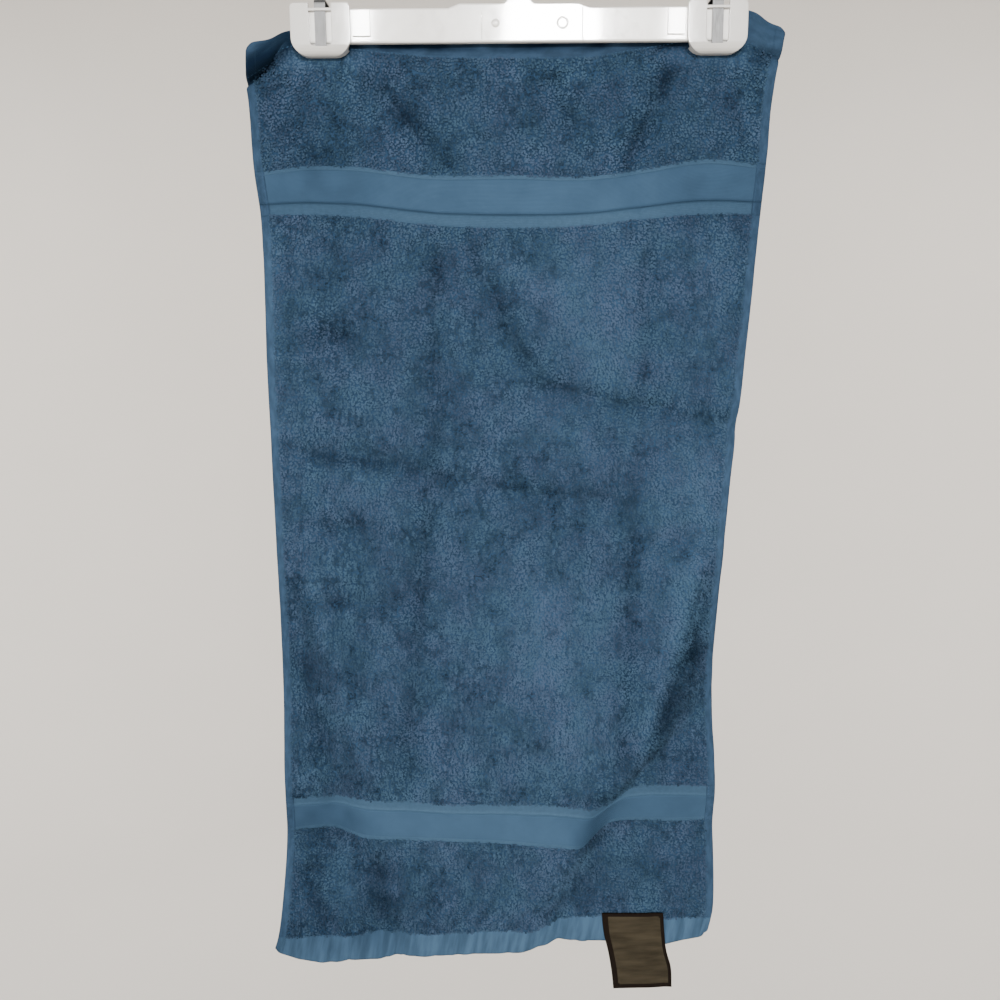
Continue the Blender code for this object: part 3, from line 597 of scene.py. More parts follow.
def cloth_point(u, down, unevenness):
    """The middle of the cloth's thickness, as x, y and z in millimetres."""
    x, drop = hang(u, down)
    inward, upward = round_corners(u, down)
    x, drop = x + inward, drop + upward
    depth = turn_back(RIGHT_TURN, 1, x, down) + turn_back(LEFT_TURN, -1, x, down)
    for fold in FOLDS:
        depth = depth + fold_depth(fold, x, drop)
    across = u * TOWEL_WIDTH
    broken = 1 + layered_noise(CREASE_NOISE, across, down)
    for fold in FINE_FOLDS:
        depth = depth + broken * fold_depth(fold, x, drop)
    uneven = layered_noise(UNEVEN_NOISE, across, down)
    near_hem = 1 - smooth((end_distance(down) - HEM) / PUCKER_FADE)
    puckers = np.where(down > TOWEL_LENGTH / 2, PUCKER, TOP_PUCKER) * near_hem
    puckers = puckers * value_noise(across, down * PUCKER_WIDE / PUCKER_TALL, PUCKER_WIDE, PUCKER_SEED)
    depth = (depth + unevenness * uneven + puckers) * (1 - clip_hold(x, drop))
    flared = x
    for corner in CORNERS:
        depth = depth + corner_lean(corner, x, down)
        flared = flared + corner_flare(corner, x, down)
    return np.stack([flared, TOWEL_Y + depth, TOWEL_TOP_Z - drop], axis=-1)


def cloth_axes(u, down, unevenness):
    """Points of the cloth's middle with, at each, the directions across it, down it and out of its front."""
    point = cloth_point(u, down, unevenness)
    probe = 0.6
    aside = probe / TOWEL_WIDTH
    across = cloth_point(u + aside, down, unevenness) - cloth_point(u - aside, down, unevenness)
    along = cloth_point(u, down + probe, unevenness) - cloth_point(u, down - probe, unevenness)
    across /= np.linalg.norm(across, axis=-1, keepdims=True)
    out = np.cross(along, across)
    out /= np.linalg.norm(out, axis=-1, keepdims=True)
    return point, across, np.cross(across, out), out


def side_distance(u):
    """How far a place is from the nearer side of the towel."""
    return np.minimum(u, 1 - u) * TOWEL_WIDTH


def window(value, low, high, step):
    """1 between low and high, with a soft step at each."""
    return smooth((value - low) / step + 0.5) * smooth((high - value) / step + 0.5)


def pinch_share(points):
    """0 where a clip's lips grip the cloth, 1 away from them."""
    drop = TOWEL_TOP_Z - points[..., 2]
    lip = CLIP_BOTTOM - LIP_TALL / 2
    across = np.abs(np.abs(points[..., 0]) - CLIP_X)
    far = np.maximum(np.abs(drop - lip) - LIP_TALL / 2, across - CLIP_WIDTH / 2 - CLIP_MARGIN)
    return smooth((far - PINCH_FLAT) / PINCH_REACH)


def half_thickness(u, down, points):
    """Half the thickness of the cloth without its pile, with the raised lines of its woven borders."""
    end, side = end_distance(down), side_distance(u)
    border_start = HEM + END_TERRY
    border = window(end, border_start, border_start + BORDER, ZONE_STEP)
    half = GROUND_HALF + (BORDER_HALF - GROUND_HALF) * border
    inner_band = smooth((end - border_start - GROOVE_AT) / GROOVE_HALF + 0.5)
    groove = np.exp(-(((end - border_start - GROOVE_AT) / GROOVE_HALF) ** 2))
    turned = np.where(down > TOWEL_LENGTH / 2, -1, 1)
    half = half - border * (INNER_BAND_LOWER * inner_band + GROOVE_DEEP * groove * turned)
    hem = 1 - smooth((end - HEM) / ZONE_STEP + 0.5)
    half = half + (HEM_HALF - half) * hem
    side_hem = 1 - smooth((side - SIDE_HEM) / ZONE_STEP + 0.5)
    half = half + (SIDE_HEM_HALF - half) * side_hem * (1 - hem)
    pinched = np.minimum(half, PINCHED_HALF)
    return pinched + (half - pinched) * pinch_share(points)


# ---------------------------------------------------------------- meshes


def add_object(name, data):
    """Puts a new object in the scene."""
    obj = bpy.data.objects.new(name, data)
    bpy.context.scene.collection.objects.link(obj)
    return obj


def quad_mesh(name, points, faces, uvs):
    """A smooth mesh of points in millimetres, with one place on its map for each point."""
    mesh = bpy.data.meshes.new(name)
    mesh.from_pydata((points * MM).tolist(), [], faces.tolist())
    layer = mesh.uv_layers.new(name="OFBake")
    layer.data.foreach_set("uv", uvs[faces.ravel()].astype(np.float32).ravel())
    mesh.shade_smooth()
    return add_object(name, mesh)


def grid_faces(rows, cols, start=0, flip=False):
    """The faces of a grid of points, of which the first is point number start."""
    first = start + np.arange(rows - 1)[:, None] * cols + np.arange(cols - 1)[None, :]
    corners = [first, first + 1, first + cols + 1, first + cols]
    faces = np.stack(corners[::-1] if flip else corners, axis=-1)
    return faces.reshape(-1, 4)


def turned_faces(steps, count, start=0):
    """The faces between the profiles, of count points each, that stand around a turned shape."""
    faces = []
    for step in range(steps):
        here, there = start + step * count, start + (step + 1) % steps * count
        faces += [(here + k, there + k, there + k + 1, here + k + 1) for k in range(count - 1)]
    return faces


def closed_sheet(name, middle, out, half):
    """A closed sheet around a grid of middle points. Its front has the left half of the map."""
    rows, cols = middle.shape[:2]
    offset = out * half[..., None]
    points = np.concatenate([(middle + offset).reshape(-1, 3), (middle - offset).reshape(-1, 3)])
    count = rows * cols
    rim = np.concatenate([
        np.arange(cols),
        np.arange(1, rows) * cols + cols - 1,
        (rows - 1) * cols + np.arange(cols - 2, -1, -1),
        np.arange(rows - 2, 0, -1) * cols,
    ])
    following = np.roll(rim, -1)
    rim_faces = np.stack([following, rim, count + rim, count + following], axis=-1)
    front_faces, back_faces = grid_faces(rows, cols, flip=True), grid_faces(rows, cols, count)
    faces = np.concatenate([front_faces, back_faces, rim_faces[:, ::-1]])
    across, along = np.meshgrid(np.linspace(0, 1, cols), np.linspace(1, 0, rows))
    front = np.stack([MAP_HALF * across, along], axis=-1).reshape(-1, 2)
    uvs = np.concatenate([front, front + np.array([1 - MAP_HALF, 0])])
    return quad_mesh(name, points, faces, uvs)


def paint_sheet(obj, zones, rim, finishes):
    """Gives each cell of a closed sheet the finish of its zone, on both faces, and the rim one finish."""
    for finish in finishes:
        obj.data.materials.append(finish)
    zones = zones.ravel()
    rims = np.full(len(obj.data.polygons) - 2 * len(zones), rim)
    index = np.concatenate([zones, zones, rims]).astype(np.int32)
    obj.data.polygons.foreach_set("material_index", index)


def lines_through(stops, cells):
    """Evenly spaced values from the first stop to the last, with closer pairs around each stop between."""
    total = stops[-1] - stops[0]
    values = []
    for low, high in zip(stops, stops[1:]):
        count = max(2, round(cells * (high - low) / total))
        inner_low = low + (ZONE_STEP / 2 if low > stops[0] else 0)
        inner_high = high - (ZONE_STEP / 2 if high < stops[-1] else 0)
        values.append(np.linspace(inner_low, inner_high, count + 1))
    return np.concatenate(values)


def cloth_rows():
    """How far down the cloth each row of its mesh lies, with extra rows at the grooves and bands."""
    border = HEM + END_TERRY
    far = TOWEL_LENGTH - border
    rows = lines_through(
        (0, HEM, border, border + BORDER, far - BORDER, far, TOWEL_LENGTH - HEM, TOWEL_LENGTH), CELLS_DOWN
    )
    groove = border + GROOVE_AT + GROOVE_HALF * np.array(GROOVE_ROWS)
    band = border + OUTER_BAND + np.array(OUTER_BAND_ROWS)
    fine = [rows, groove, TOWEL_LENGTH - groove, band, TOWEL_LENGTH - band]
    return np.unique(np.round(np.concatenate(fine), 2))


def cloth_columns():
    """Where each column of the cloth's mesh lies, from 0 at its left side to 1 at its right."""
    return lines_through((0, SIDE_HEM, TOWEL_WIDTH - SIDE_HEM, TOWEL_WIDTH), CELLS_ACROSS) / TOWEL_WIDTH


# The numbers of the cloth's finishes, in the order in which they are put on it
TERRY_ZONE, MAIN_BAND_ZONE, EDGE_BAND_ZONE, LOW_HEM_ZONE, SIDE_HEM_ZONE, TOP_HEM_ZONE = range(6)


def zone_of(u, down):
    """The number of the finish at each place on the cloth. A later zone lies over the ones before it."""
    end, side = end_distance(down), side_distance(u)
    at = end - HEM - END_TERRY
    border = (at > 0) & (at < BORDER)
    zone = np.full(at.shape, TERRY_ZONE)
    for number, covers in (
        (MAIN_BAND_ZONE, border),
        (EDGE_BAND_ZONE, border & ((at < OUTER_BAND) | (at > GROOVE_AT))),
        (SIDE_HEM_ZONE, side < SIDE_HEM),
        (LOW_HEM_ZONE, end < HEM),
        (TOP_HEM_ZONE, down < HEM),
    ):
        zone = np.where(covers, number, zone)
    return zone


def make_cloth(sizes):
    """The cloth without its pile, as a closed sheet with a finish for each zone."""
    u, down = np.meshgrid(cloth_columns(), cloth_rows())
    point, _, _, out = cloth_axes(u, down, sizes.unevenness / MM)
    obj = closed_sheet("towel_cloth", point, out, half_thickness(u, down, point))
    # Painted shade and light: the table's lines, highlights on the low rib and outer edges, shade in the top
    # groove
    shade, _ = nap_and_painted_shade(point[..., 0], TOWEL_TOP_Z - point[..., 2])
    at = end_distance(down) - HEM - END_TERRY
    rib = np.exp(-(((at - GROOVE_AT) / RIB_WIDE) ** 2))
    edge = np.exp(-(((at - OUTER_BAND / 2) / RIB_WIDE) ** 2))
    shade = shade + np.where(down > TOWEL_LENGTH / 2, RIB_HIGHLIGHT, GROOVE_SHADE) * rib + EDGE_HIGHLIGHT * edge
    keep_nap_and_shade(obj, NAP_AND_SHADE_PLAIN + NAP_AND_SHADE_SHARE * np.concatenate([shade, np.maximum(shade, BACK_DEEPEST)]))
    middle_u, middle_down = (u[:-1, 1:] + u[:-1, :-1]) / 2, (down[1:, 1:] + down[:-1, 1:]) / 2
    paint_sheet(obj, zone_of(middle_u, middle_down), LOW_HEM_ZONE, (make_ground(), *cloth_weaves()))
    return obj


# ---------------------------------------------------------------- pile


def nap_and_painted_shade(x, drop):
    """How light or dark the brushed pile lies at each place, with painted shade and light, and how flat it
    is.
    """
    tone, flat = np.zeros_like(x), np.zeros_like(x)
    spots = value_noise(x + NAP_AND_SHADE_SHIFT, drop, NAP_AND_SHADE_LUMP, NAP_AND_SHADE_SEED)
    for nap_and_shade in NAPS_AND_SHADES:
        run_x, run_drop = nap_and_shade.x2 - nap_and_shade.x1, nap_and_shade.drop2 - nap_and_shade.drop1
        along = ((x - nap_and_shade.x1) * run_x + (drop - nap_and_shade.drop1) * run_drop) / (run_x**2 + run_drop**2)
        along = np.clip(along, 0, 1)
        away = np.hypot(x - nap_and_shade.x1 - along * run_x, drop - nap_and_shade.drop1 - along * run_drop)
        breaks = 1 + NAP_AND_SHADE_BREAKS * spots * min(1.0, NAP_AND_SHADE_NARROW / nap_and_shade.width)
        near = np.exp(-((away / nap_and_shade.width) ** 2)) * breaks
        tone, flat = tone + near * nap_and_shade.tone, flat + near * nap_and_shade.flat
    return np.clip(tone, *NAP_AND_SHADE_RANGE), np.clip(flat, 0, 1)


def keep_nap_and_shade(obj, light):
    """Keeps how light each point of a mesh is, by its nap and painted shade and light, for its finish."""
    nap_and_shade = obj.data.attributes.new("nap_and_shade", "FLOAT", "POINT")
    nap_and_shade.data.foreach_set("value", np.clip(light, NAP_AND_SHADE_DEEPEST, 1).astype(np.float32).ravel())


def tufts(across, down):
    """Which way and how far each loop's tuft has its middle, and a random value of the tuft's own."""
    rng = np.random.default_rng(TUFT_SEED)
    shift = rng.uniform(-TUFT_SHIFT, TUFT_SHIFT, (NOISE_CELLS, NOISE_CELLS, 2))
    own = rng.uniform(-1, 1, (NOISE_CELLS, NOISE_CELLS))
    gx, gy = across / TUFT_WIDE, down / TUFT_TALL
    i, j = np.floor(gx).astype(int), np.floor(gy).astype(int)
    nearest = np.full(across.shape, np.inf)
    to_x, to_y, value = np.zeros_like(gx), np.zeros_like(gy), np.zeros_like(gx)
    for a in (-1, 0, 1):
        for b in (-1, 0, 1):
            cell = (i + a) % NOISE_CELLS, (j + b) % NOISE_CELLS
            dx, dy = i + a + 0.5 + shift[cell][..., 0] - gx, j + b + 0.5 + shift[cell][..., 1] - gy
            distance = np.hypot(dx, dy)
            nearer = distance < nearest
            nearest = np.where(nearer, distance, nearest)
            to_x, to_y = np.where(nearer, dx, to_x), np.where(nearer, dy, to_y)
            value = np.where(nearer, own[cell], value)
    return to_x, to_y, nearest, value


def loop_roots(low, high, pitch, rng):
    """Places of the loops between two distances down the cloth, in rows that are not quite even."""
    side = SIDE_HEM + pitch / 2 - LOOP_OVERLAP
    cols = int((TOWEL_WIDTH - 2 * side) / pitch)
    rows = int((high - low) / pitch)
    u, down = np.meshgrid(np.linspace(side, TOWEL_WIDTH - side, cols), np.linspace(low, high, rows))
    u = u + (np.arange(rows) % 2 * pitch / 2)[:, None] - pitch / 4
    u = u + rng.uniform(-LOOP_JITTER, LOOP_JITTER, u.shape) * pitch
    down = down + rng.uniform(-LOOP_JITTER, LOOP_JITTER, down.shape) * pitch
    return u.ravel() / TOWEL_WIDTH, down.ravel()


# One loop: how far along it each of its cross lines stands, how high, and how wide
LoopLine = namedtuple("LoopLine", "along height width")
LOOP_LINES = (
    LoopLine(-0.5, 0.0, 0.8),
    LoopLine(-0.3, 0.86, 1.0),
    LoopLine(0.26, 1.0, 1.0),
    LoopLine(0.5, 0.1, 0.8),
)


def loop_tone(on, down, shade, flat, from_middle, own):
    """How light each loop is, by the nap with its painted shade and light, the clumps, the tuft that it
    stands in, and painted shade in the gaps between tufts.
    """
    gap_shade = smooth(from_middle * 3 - 1) * smooth(layered_noise(GAP_SHADE_NOISE, on, down))
    # The clumps and tufts are random tone; the gaps between tufts take painted shade
    clumps = layered_noise(CLUMP_NOISE, on, down) + TUFT_TONE * own - GAP_SHADE * gap_shade
    return NAP_AND_SHADE_PLAIN + NAP_AND_SHADE_SHARE * shade + clumps * (1 - FLAT_CALM * flat)


def loop_mesh(name, root, forward, sideways, rise, width, uv):
    """A mesh of loops, each a strip across its cross lines. forward and rise are its length and height."""
    lines = []
    for line in LOOP_LINES:
        centre = root + forward * line.along + rise * line.height
        reach = sideways * (width * line.width / 2)[:, None]
        lines += [centre - reach, centre + reach]
    points = np.stack(lines, axis=1).reshape(-1, 3)
    quads = np.array([[2 * k, 2 * k + 1, 2 * k + 3, 2 * k + 2] for k in range(len(LOOP_LINES) - 1)])
    faces = (np.arange(len(root))[:, None, None] * len(lines) + quads[None]).reshape(-1, 4)
    return quad_mesh(name, points, faces, np.repeat(uv, len(lines), axis=0))


def make_pile(name, side, low, high, pitch, sizes, seed):
    """Terry loops on one side of the cloth (1 front, -1 back) between two distances down it."""
    rng = np.random.default_rng(seed)
    u, down = loop_roots(low, high, pitch, rng)
    point, across, along, out = cloth_axes(u, down, sizes.unevenness / MM)
    out = out * side
    on, count = u * TOWEL_WIDTH, len(u)
    shade, flat = nap_and_painted_shade(point[:, 0], TOWEL_TOP_Z - point[:, 2])
    if side < 0:
        shade = np.maximum(shade, BACK_DEEPEST)
    to_x, to_y, from_middle, own = tufts(on + 2 * pitch * (side < 0), down)
    pull = TUFT_PULL * (1 - FLAT_LOOSE * flat)
    lean_across = layered_noise(LEAN_ACROSS_NOISE, on, down) + pull * to_x
    lean_across = lean_across + rng.normal(0, LOOP_STRAY, count)
    lean_down = LOOP_LIE + layered_noise(LEAN_DOWN_NOISE, on, down) + FLAT_LEAN * flat + pull * to_y
    lean_down = lean_down + rng.normal(0, LOOP_STRAY, count)
    dome = 1.0 - (1 - flat) * TUFT_DOME * np.clip(from_middle / TUFT_REACH, 0, 1) ** 2
    height = sizes.pile_height / MM * (1 - FLAT_LOW * flat) * dome * rng.uniform(*LOOP_HEIGHTS, count)
    height = height * (LOOP_PINCHED + (1 - LOOP_PINCHED) * pinch_share(point))
    light = loop_tone(on, down, shade, flat, from_middle, own) + LOOP_TONE * rng.normal(0, 1, count)
    turn = rng.uniform(0, 2 * math.pi, count)
    forward = across * np.cos(turn)[:, None] + along * np.sin(turn)[:, None]
    span, width = pitch * rng.uniform(*LOOP_SPANS, count), pitch * rng.uniform(*LOOP_WIDTHS, count)
    lean = across * lean_across[:, None] + along * lean_down[:, None]
    rise = (out + lean * LEAN_SHARE) * height[:, None]
    root = point + out * (GROUND_HALF - LOOP_SUNK)
    uv = np.stack([u, 1 - down / TOWEL_LENGTH], axis=-1)
    obj = loop_mesh(name, root, forward * span[:, None], np.cross(out, forward), rise, width, uv)
    keep_nap_and_shade(obj, np.repeat(light, 2 * len(LOOP_LINES)))
    return obj


def pile_bands():
    """The lengths of terry down the cloth, with names, cut so that no piece gets too heavy."""
    border = HEM + END_TERRY
    body = border + BORDER
    cut = BODY / 3
    return (
        ("top", HEM, border),
        ("upper", body, body + cut),
        ("middle", body + cut, body + 2 * cut),
        ("lower", body + 2 * cut, body + BODY),
        ("end", TOWEL_LENGTH - border, TOWEL_LENGTH - HEM),
    )


# ---------------------------------------------------------------- stitches

# A line of stitches: how far it lies inside its hem's edge, its stitches' length as a share of their pitch,
# their width and rise, and how deep they sit in the cloth
STITCH_INSET = 1.3
STITCH_LONG = 0.82
STITCH_WIDE = 0.8
STITCH_RISE = 0.35
STITCH_SUNK = 0.05


def stitch_mesh(name, centre, direction, sideways, out, length, width, rise):
    """Small stitches, each a low pointed ridge that lies along its direction."""
    tips = [centre - direction * length / 2, centre + direction * length / 2]
    flanks = [centre - sideways * width / 2, centre + sideways * width / 2]
    top = centre + out * rise
    points = np.stack([tips[0], flanks[0], tips[1], flanks[1], top], axis=1).reshape(-1, 3)
    triangles = np.array([[k, (k + 1) % 4, 4] for k in range(4)])
    faces = (np.arange(len(centre))[:, None, None] * 5 + triangles[None]).reshape(-1, 3)
    uvs = np.zeros((len(points), 2))
    return quad_mesh(name, points, faces, uvs)


def make_stitches(sizes):
    """The lines of stitches that hold the end hems and the side hems, on both faces of the cloth."""
    pitch = sizes.stitch_pitch / MM
    inset = STITCH_INSET
    places = []
    for down in (HEM - inset, TOWEL_LENGTH - HEM + inset):
        u = np.arange(inset, TOWEL_WIDTH - inset, pitch) / TOWEL_WIDTH
        places.append((u, np.full_like(u, down), True))
    for side in (SIDE_HEM - inset, TOWEL_WIDTH - SIDE_HEM + inset):
        down = np.arange(HEM, TOWEL_LENGTH - HEM, pitch)
        places.append((np.full_like(down, side / TOWEL_WIDTH), down, False))
    centres, directions, sideways, outs = [], [], [], []
    for u, down, runs_across in places:
        point, across, along, out = cloth_axes(u, down, sizes.unevenness / MM)
        half = half_thickness(u, down, point)[:, None]
        for side in (1, -1):
            centres.append(point + out * side * (half - STITCH_SUNK))
            directions.append(across if runs_across else along)
            sideways.append(along if runs_across else across)
            outs.append(out * side)
    parts = [np.concatenate(values) for values in (centres, directions, sideways, outs)]
    obj = stitch_mesh("hem_stitches", *parts, pitch * STITCH_LONG, STITCH_WIDE, STITCH_RISE)
    obj.data.materials.append(make_thread())
    return obj


# ---------------------------------------------------------------- label


def cloth_front(x, drop):
    """The y of the hem's front face at a place given by x and real drop, found by search down the cloth."""
    left, right = SECTIONS[-2].left_x, SECTIONS[-2].right_x
    u = np.clip((x - left) / (right - left), 0.0, 1.0)
    downs = np.linspace(TOWEL_LENGTH - 2 * HEM, TOWEL_LENGTH, FRONT_STEPS)
    points = cloth_point(np.full_like(downs, u), downs, 0.0)
    place = int(np.argmin(np.abs(TOWEL_TOP_Z - points[:, 2] - drop)))
    return points[place, 1] - HEM_HALF


def make_label():
    """The label hangs in front of the hem from its sewn top edge, and straight on below the towel."""
    cols, rows = LABEL_CELLS
    across, along = np.meshgrid(np.linspace(0, 1, cols + 1), np.linspace(0, 1, rows + 1))
    shares = [line.share for line in LABEL_LINES]
    left_x, left_down, right_x, right_down = (
        curve_through(shares, [getattr(line, name) for line in LABEL_LINES], along)
        for name in LabelLine._fields[1:]
    )
    x, drop = left_x + (right_x - left_x) * across, left_down + (right_down - left_down) * across
    coarse = np.linspace(0, cols, LABEL_PROBES).astype(int)
    front = np.empty((rows + 1, len(coarse)))
    for r in range(rows + 1):
        for k, c in enumerate(coarse):
            front[r, k] = cloth_front(x[r, c], drop[r, c])
    nearest = np.minimum(front, front.min(axis=0) + LABEL_SWING)
    y = np.stack([np.interp(np.arange(cols + 1), coarse, row) for row in nearest])
    wide, tall = LABEL_FLAT
    to_edge = (across * wide, (1 - across) * wide, along * tall, (1 - along) * tall)
    inside = np.minimum.reduce([to - edge for to, edge in zip(to_edge, LABEL_EDGES)])
    uneven = value_noise(across * wide, along * tall, LABEL_WRINKLE_LUMP, LABEL_WRINKLE_SEED)
    turns = along * tall / LABEL_WRINKLE_PITCH + LABEL_WRINKLE_SLANT * across + LABEL_WRINKLE_STRAY * uneven
    wrinkles = LABEL_WRINKLE * np.sin(2 * math.pi * turns) * smooth(inside / LABEL_WRINKLE_INSET)
    wrinkles = wrinkles * (LABEL_WRINKLE_LEFT - LABEL_WRINKLE_LOSS * across)
    y = y - LABEL_GAP - LABEL_THICK / 2 - wrinkles
    middle = np.stack([x, y, TOWEL_TOP_Z - drop], axis=-1)
    out = np.cross(np.gradient(middle, axis=0), np.gradient(middle, axis=1))
    out /= np.linalg.norm(out, axis=-1, keepdims=True)
    rolled = 1 - smooth(inside / LABEL_EDGE_SOFT + 0.5)
    half = LABEL_THICK / 2 * (LABEL_FACE_THIN + (1 - LABEL_FACE_THIN) * rolled)
    obj = closed_sheet("label_woven", middle, out, half)
    dark = (inside[:-1, :-1] + inside[1:, 1:] < 0).astype(int)
    paint_sheet(obj, dark, 1, (make_label_weave(), make_label_edge()))
    return obj


# ---------------------------------------------------------------- hanger


def arc(centre, radius, start, end, steps):
    """Points on an arc, angles in degrees."""
    return [
        (centre[0] + radius * math.cos(math.radians(a)), centre[1] + radius * math.sin(math.radians(a)))
        for a in np.linspace(start, end, steps + 1)
    ]


def make_hook():
    """The wire: up the stem, round the small bend, then round the eye to the tip, which is rounded."""
    eye_z = -(HOOK_RADIUS - WIRE / 2)
    turn = math.acos(HOOK_BEND / (HOOK_RADIUS + HOOK_BEND))
    bend_z = eye_z - (HOOK_RADIUS + HOOK_BEND) * math.sin(turn)
    stem = [(0.0, z) for z in np.linspace(HOOK_FOOT_Z, bend_z, STEM_STEPS)]
    bend = arc((HOOK_BEND, bend_z), HOOK_BEND, 180, 180 - math.degrees(turn), BEND_STEPS)
    eye = arc((0, eye_z), HOOK_RADIUS, -math.degrees(turn), HOOK_TIP_DEG, EYE_STEPS)
    path = stem + bend[1:] + eye[1:]
    curve = bpy.data.curves.new("hook_wire", "CURVE")
    curve.dimensions = "3D"
    curve.bevel_depth = WIRE / 2 * MM
    curve.bevel_resolution = 6
    curve.use_fill_caps = True
    line = curve.splines.new("POLY")
    line.points.add(len(path) - 1)
    for point, (x, z) in zip(line.points, path):
        point.co = (x * MM, 0.0, z * MM, 1.0)
    line.points[-1].radius = HOOK_TIP_SHARE
    curve.materials.append(make_steel("hook steel", 0.16))
    return add_object("hook_wire", curve)


# Small round marks that a mould leaves on the bar's face: place, outer and inner radius, and rise
MouldMark = namedtuple("MouldMark", "x z outer inner rise")
MOULD_MARKS = (
    MouldMark(-17.0, -83.0, 3.0, 0.0, 0.7),
    MouldMark(31.5, -83.0, 4.4, 2.9, 0.35),
)
MARK_STEPS = 40
MARK_SUNK = 0.05
# Fine raised lines down the bar's face, where the mould's middle is set in
MOULD_LINES_X = (-27.0, 46.0)
MOULD_LINE_WIDE = 0.9
MOULD_LINE_RISE = 0.25
MOULD_LINE_Z = (-95.0, -72.5)


def make_mould_marks():
    """Low round buttons and rings on the front of the bar, turned about the line out of its face."""
    points, faces = [], []
    for mark in MOULD_MARKS:
        soft = min(mark.rise, (mark.outer - mark.inner) / 3)
        profile = [(mark.outer, 0.0), (mark.outer, mark.rise - soft / 2), (mark.outer - soft, mark.rise)]
        if mark.inner:
            inner = mark.inner
            profile += [(inner + soft, mark.rise), (inner, mark.rise - soft / 2), (inner, 0.0)]
        else:
            profile += [(mark.outer / 2, mark.rise * 1.15), (0.02, mark.rise * 1.2)]
        start, count = len(points), len(profile)
        for step in range(MARK_STEPS):
            a = 2 * math.pi * step / MARK_STEPS
            points += [
                (mark.x + r * math.cos(a), BAR_FRONT_Y + MARK_SUNK - h, mark.z + r * math.sin(a))
                for r, h in profile
            ]
        faces += turned_faces(MARK_STEPS, count, start)
    for x in MOULD_LINES_X:
        start = len(points)
        ridge = ((-0.5, 0.0), (-0.25, 1.0), (0.25, 1.0), (0.5, 0.0))
        points += [
            (x + side * MOULD_LINE_WIDE, BAR_FRONT_Y + MARK_SUNK - rise * MOULD_LINE_RISE, z)
            for z in MOULD_LINE_Z for side, rise in ridge
        ]
        faces += [(start + k, start + k + 1, start + k + 5, start + k + 4) for k in range(3)]
    points, faces = np.array(points), np.array(faces)
    return quad_mesh("bar_mould_marks", points, faces, np.zeros((len(points), 2)))


# ---------------------------------------------------------------- finishes


# The places of a colour mix's two colours and of its result among its sockets
MIX_FIRST, MIX_SECOND, MIX_RESULT = 6, 7, 2

# How far the sheen spreads, and how little the cloth shines
SHEEN_SPREAD, CLOTH_SHINE = 0.55, 0.03

# What the nap and the painted shade and light multiply a colour by, where they lie darkest and lightest
NAP_AND_SHADE_DARK, NAP_AND_SHADE_LIGHT = (0.07, 0.12, 0.18), (1.7, 1.7, 1.68)


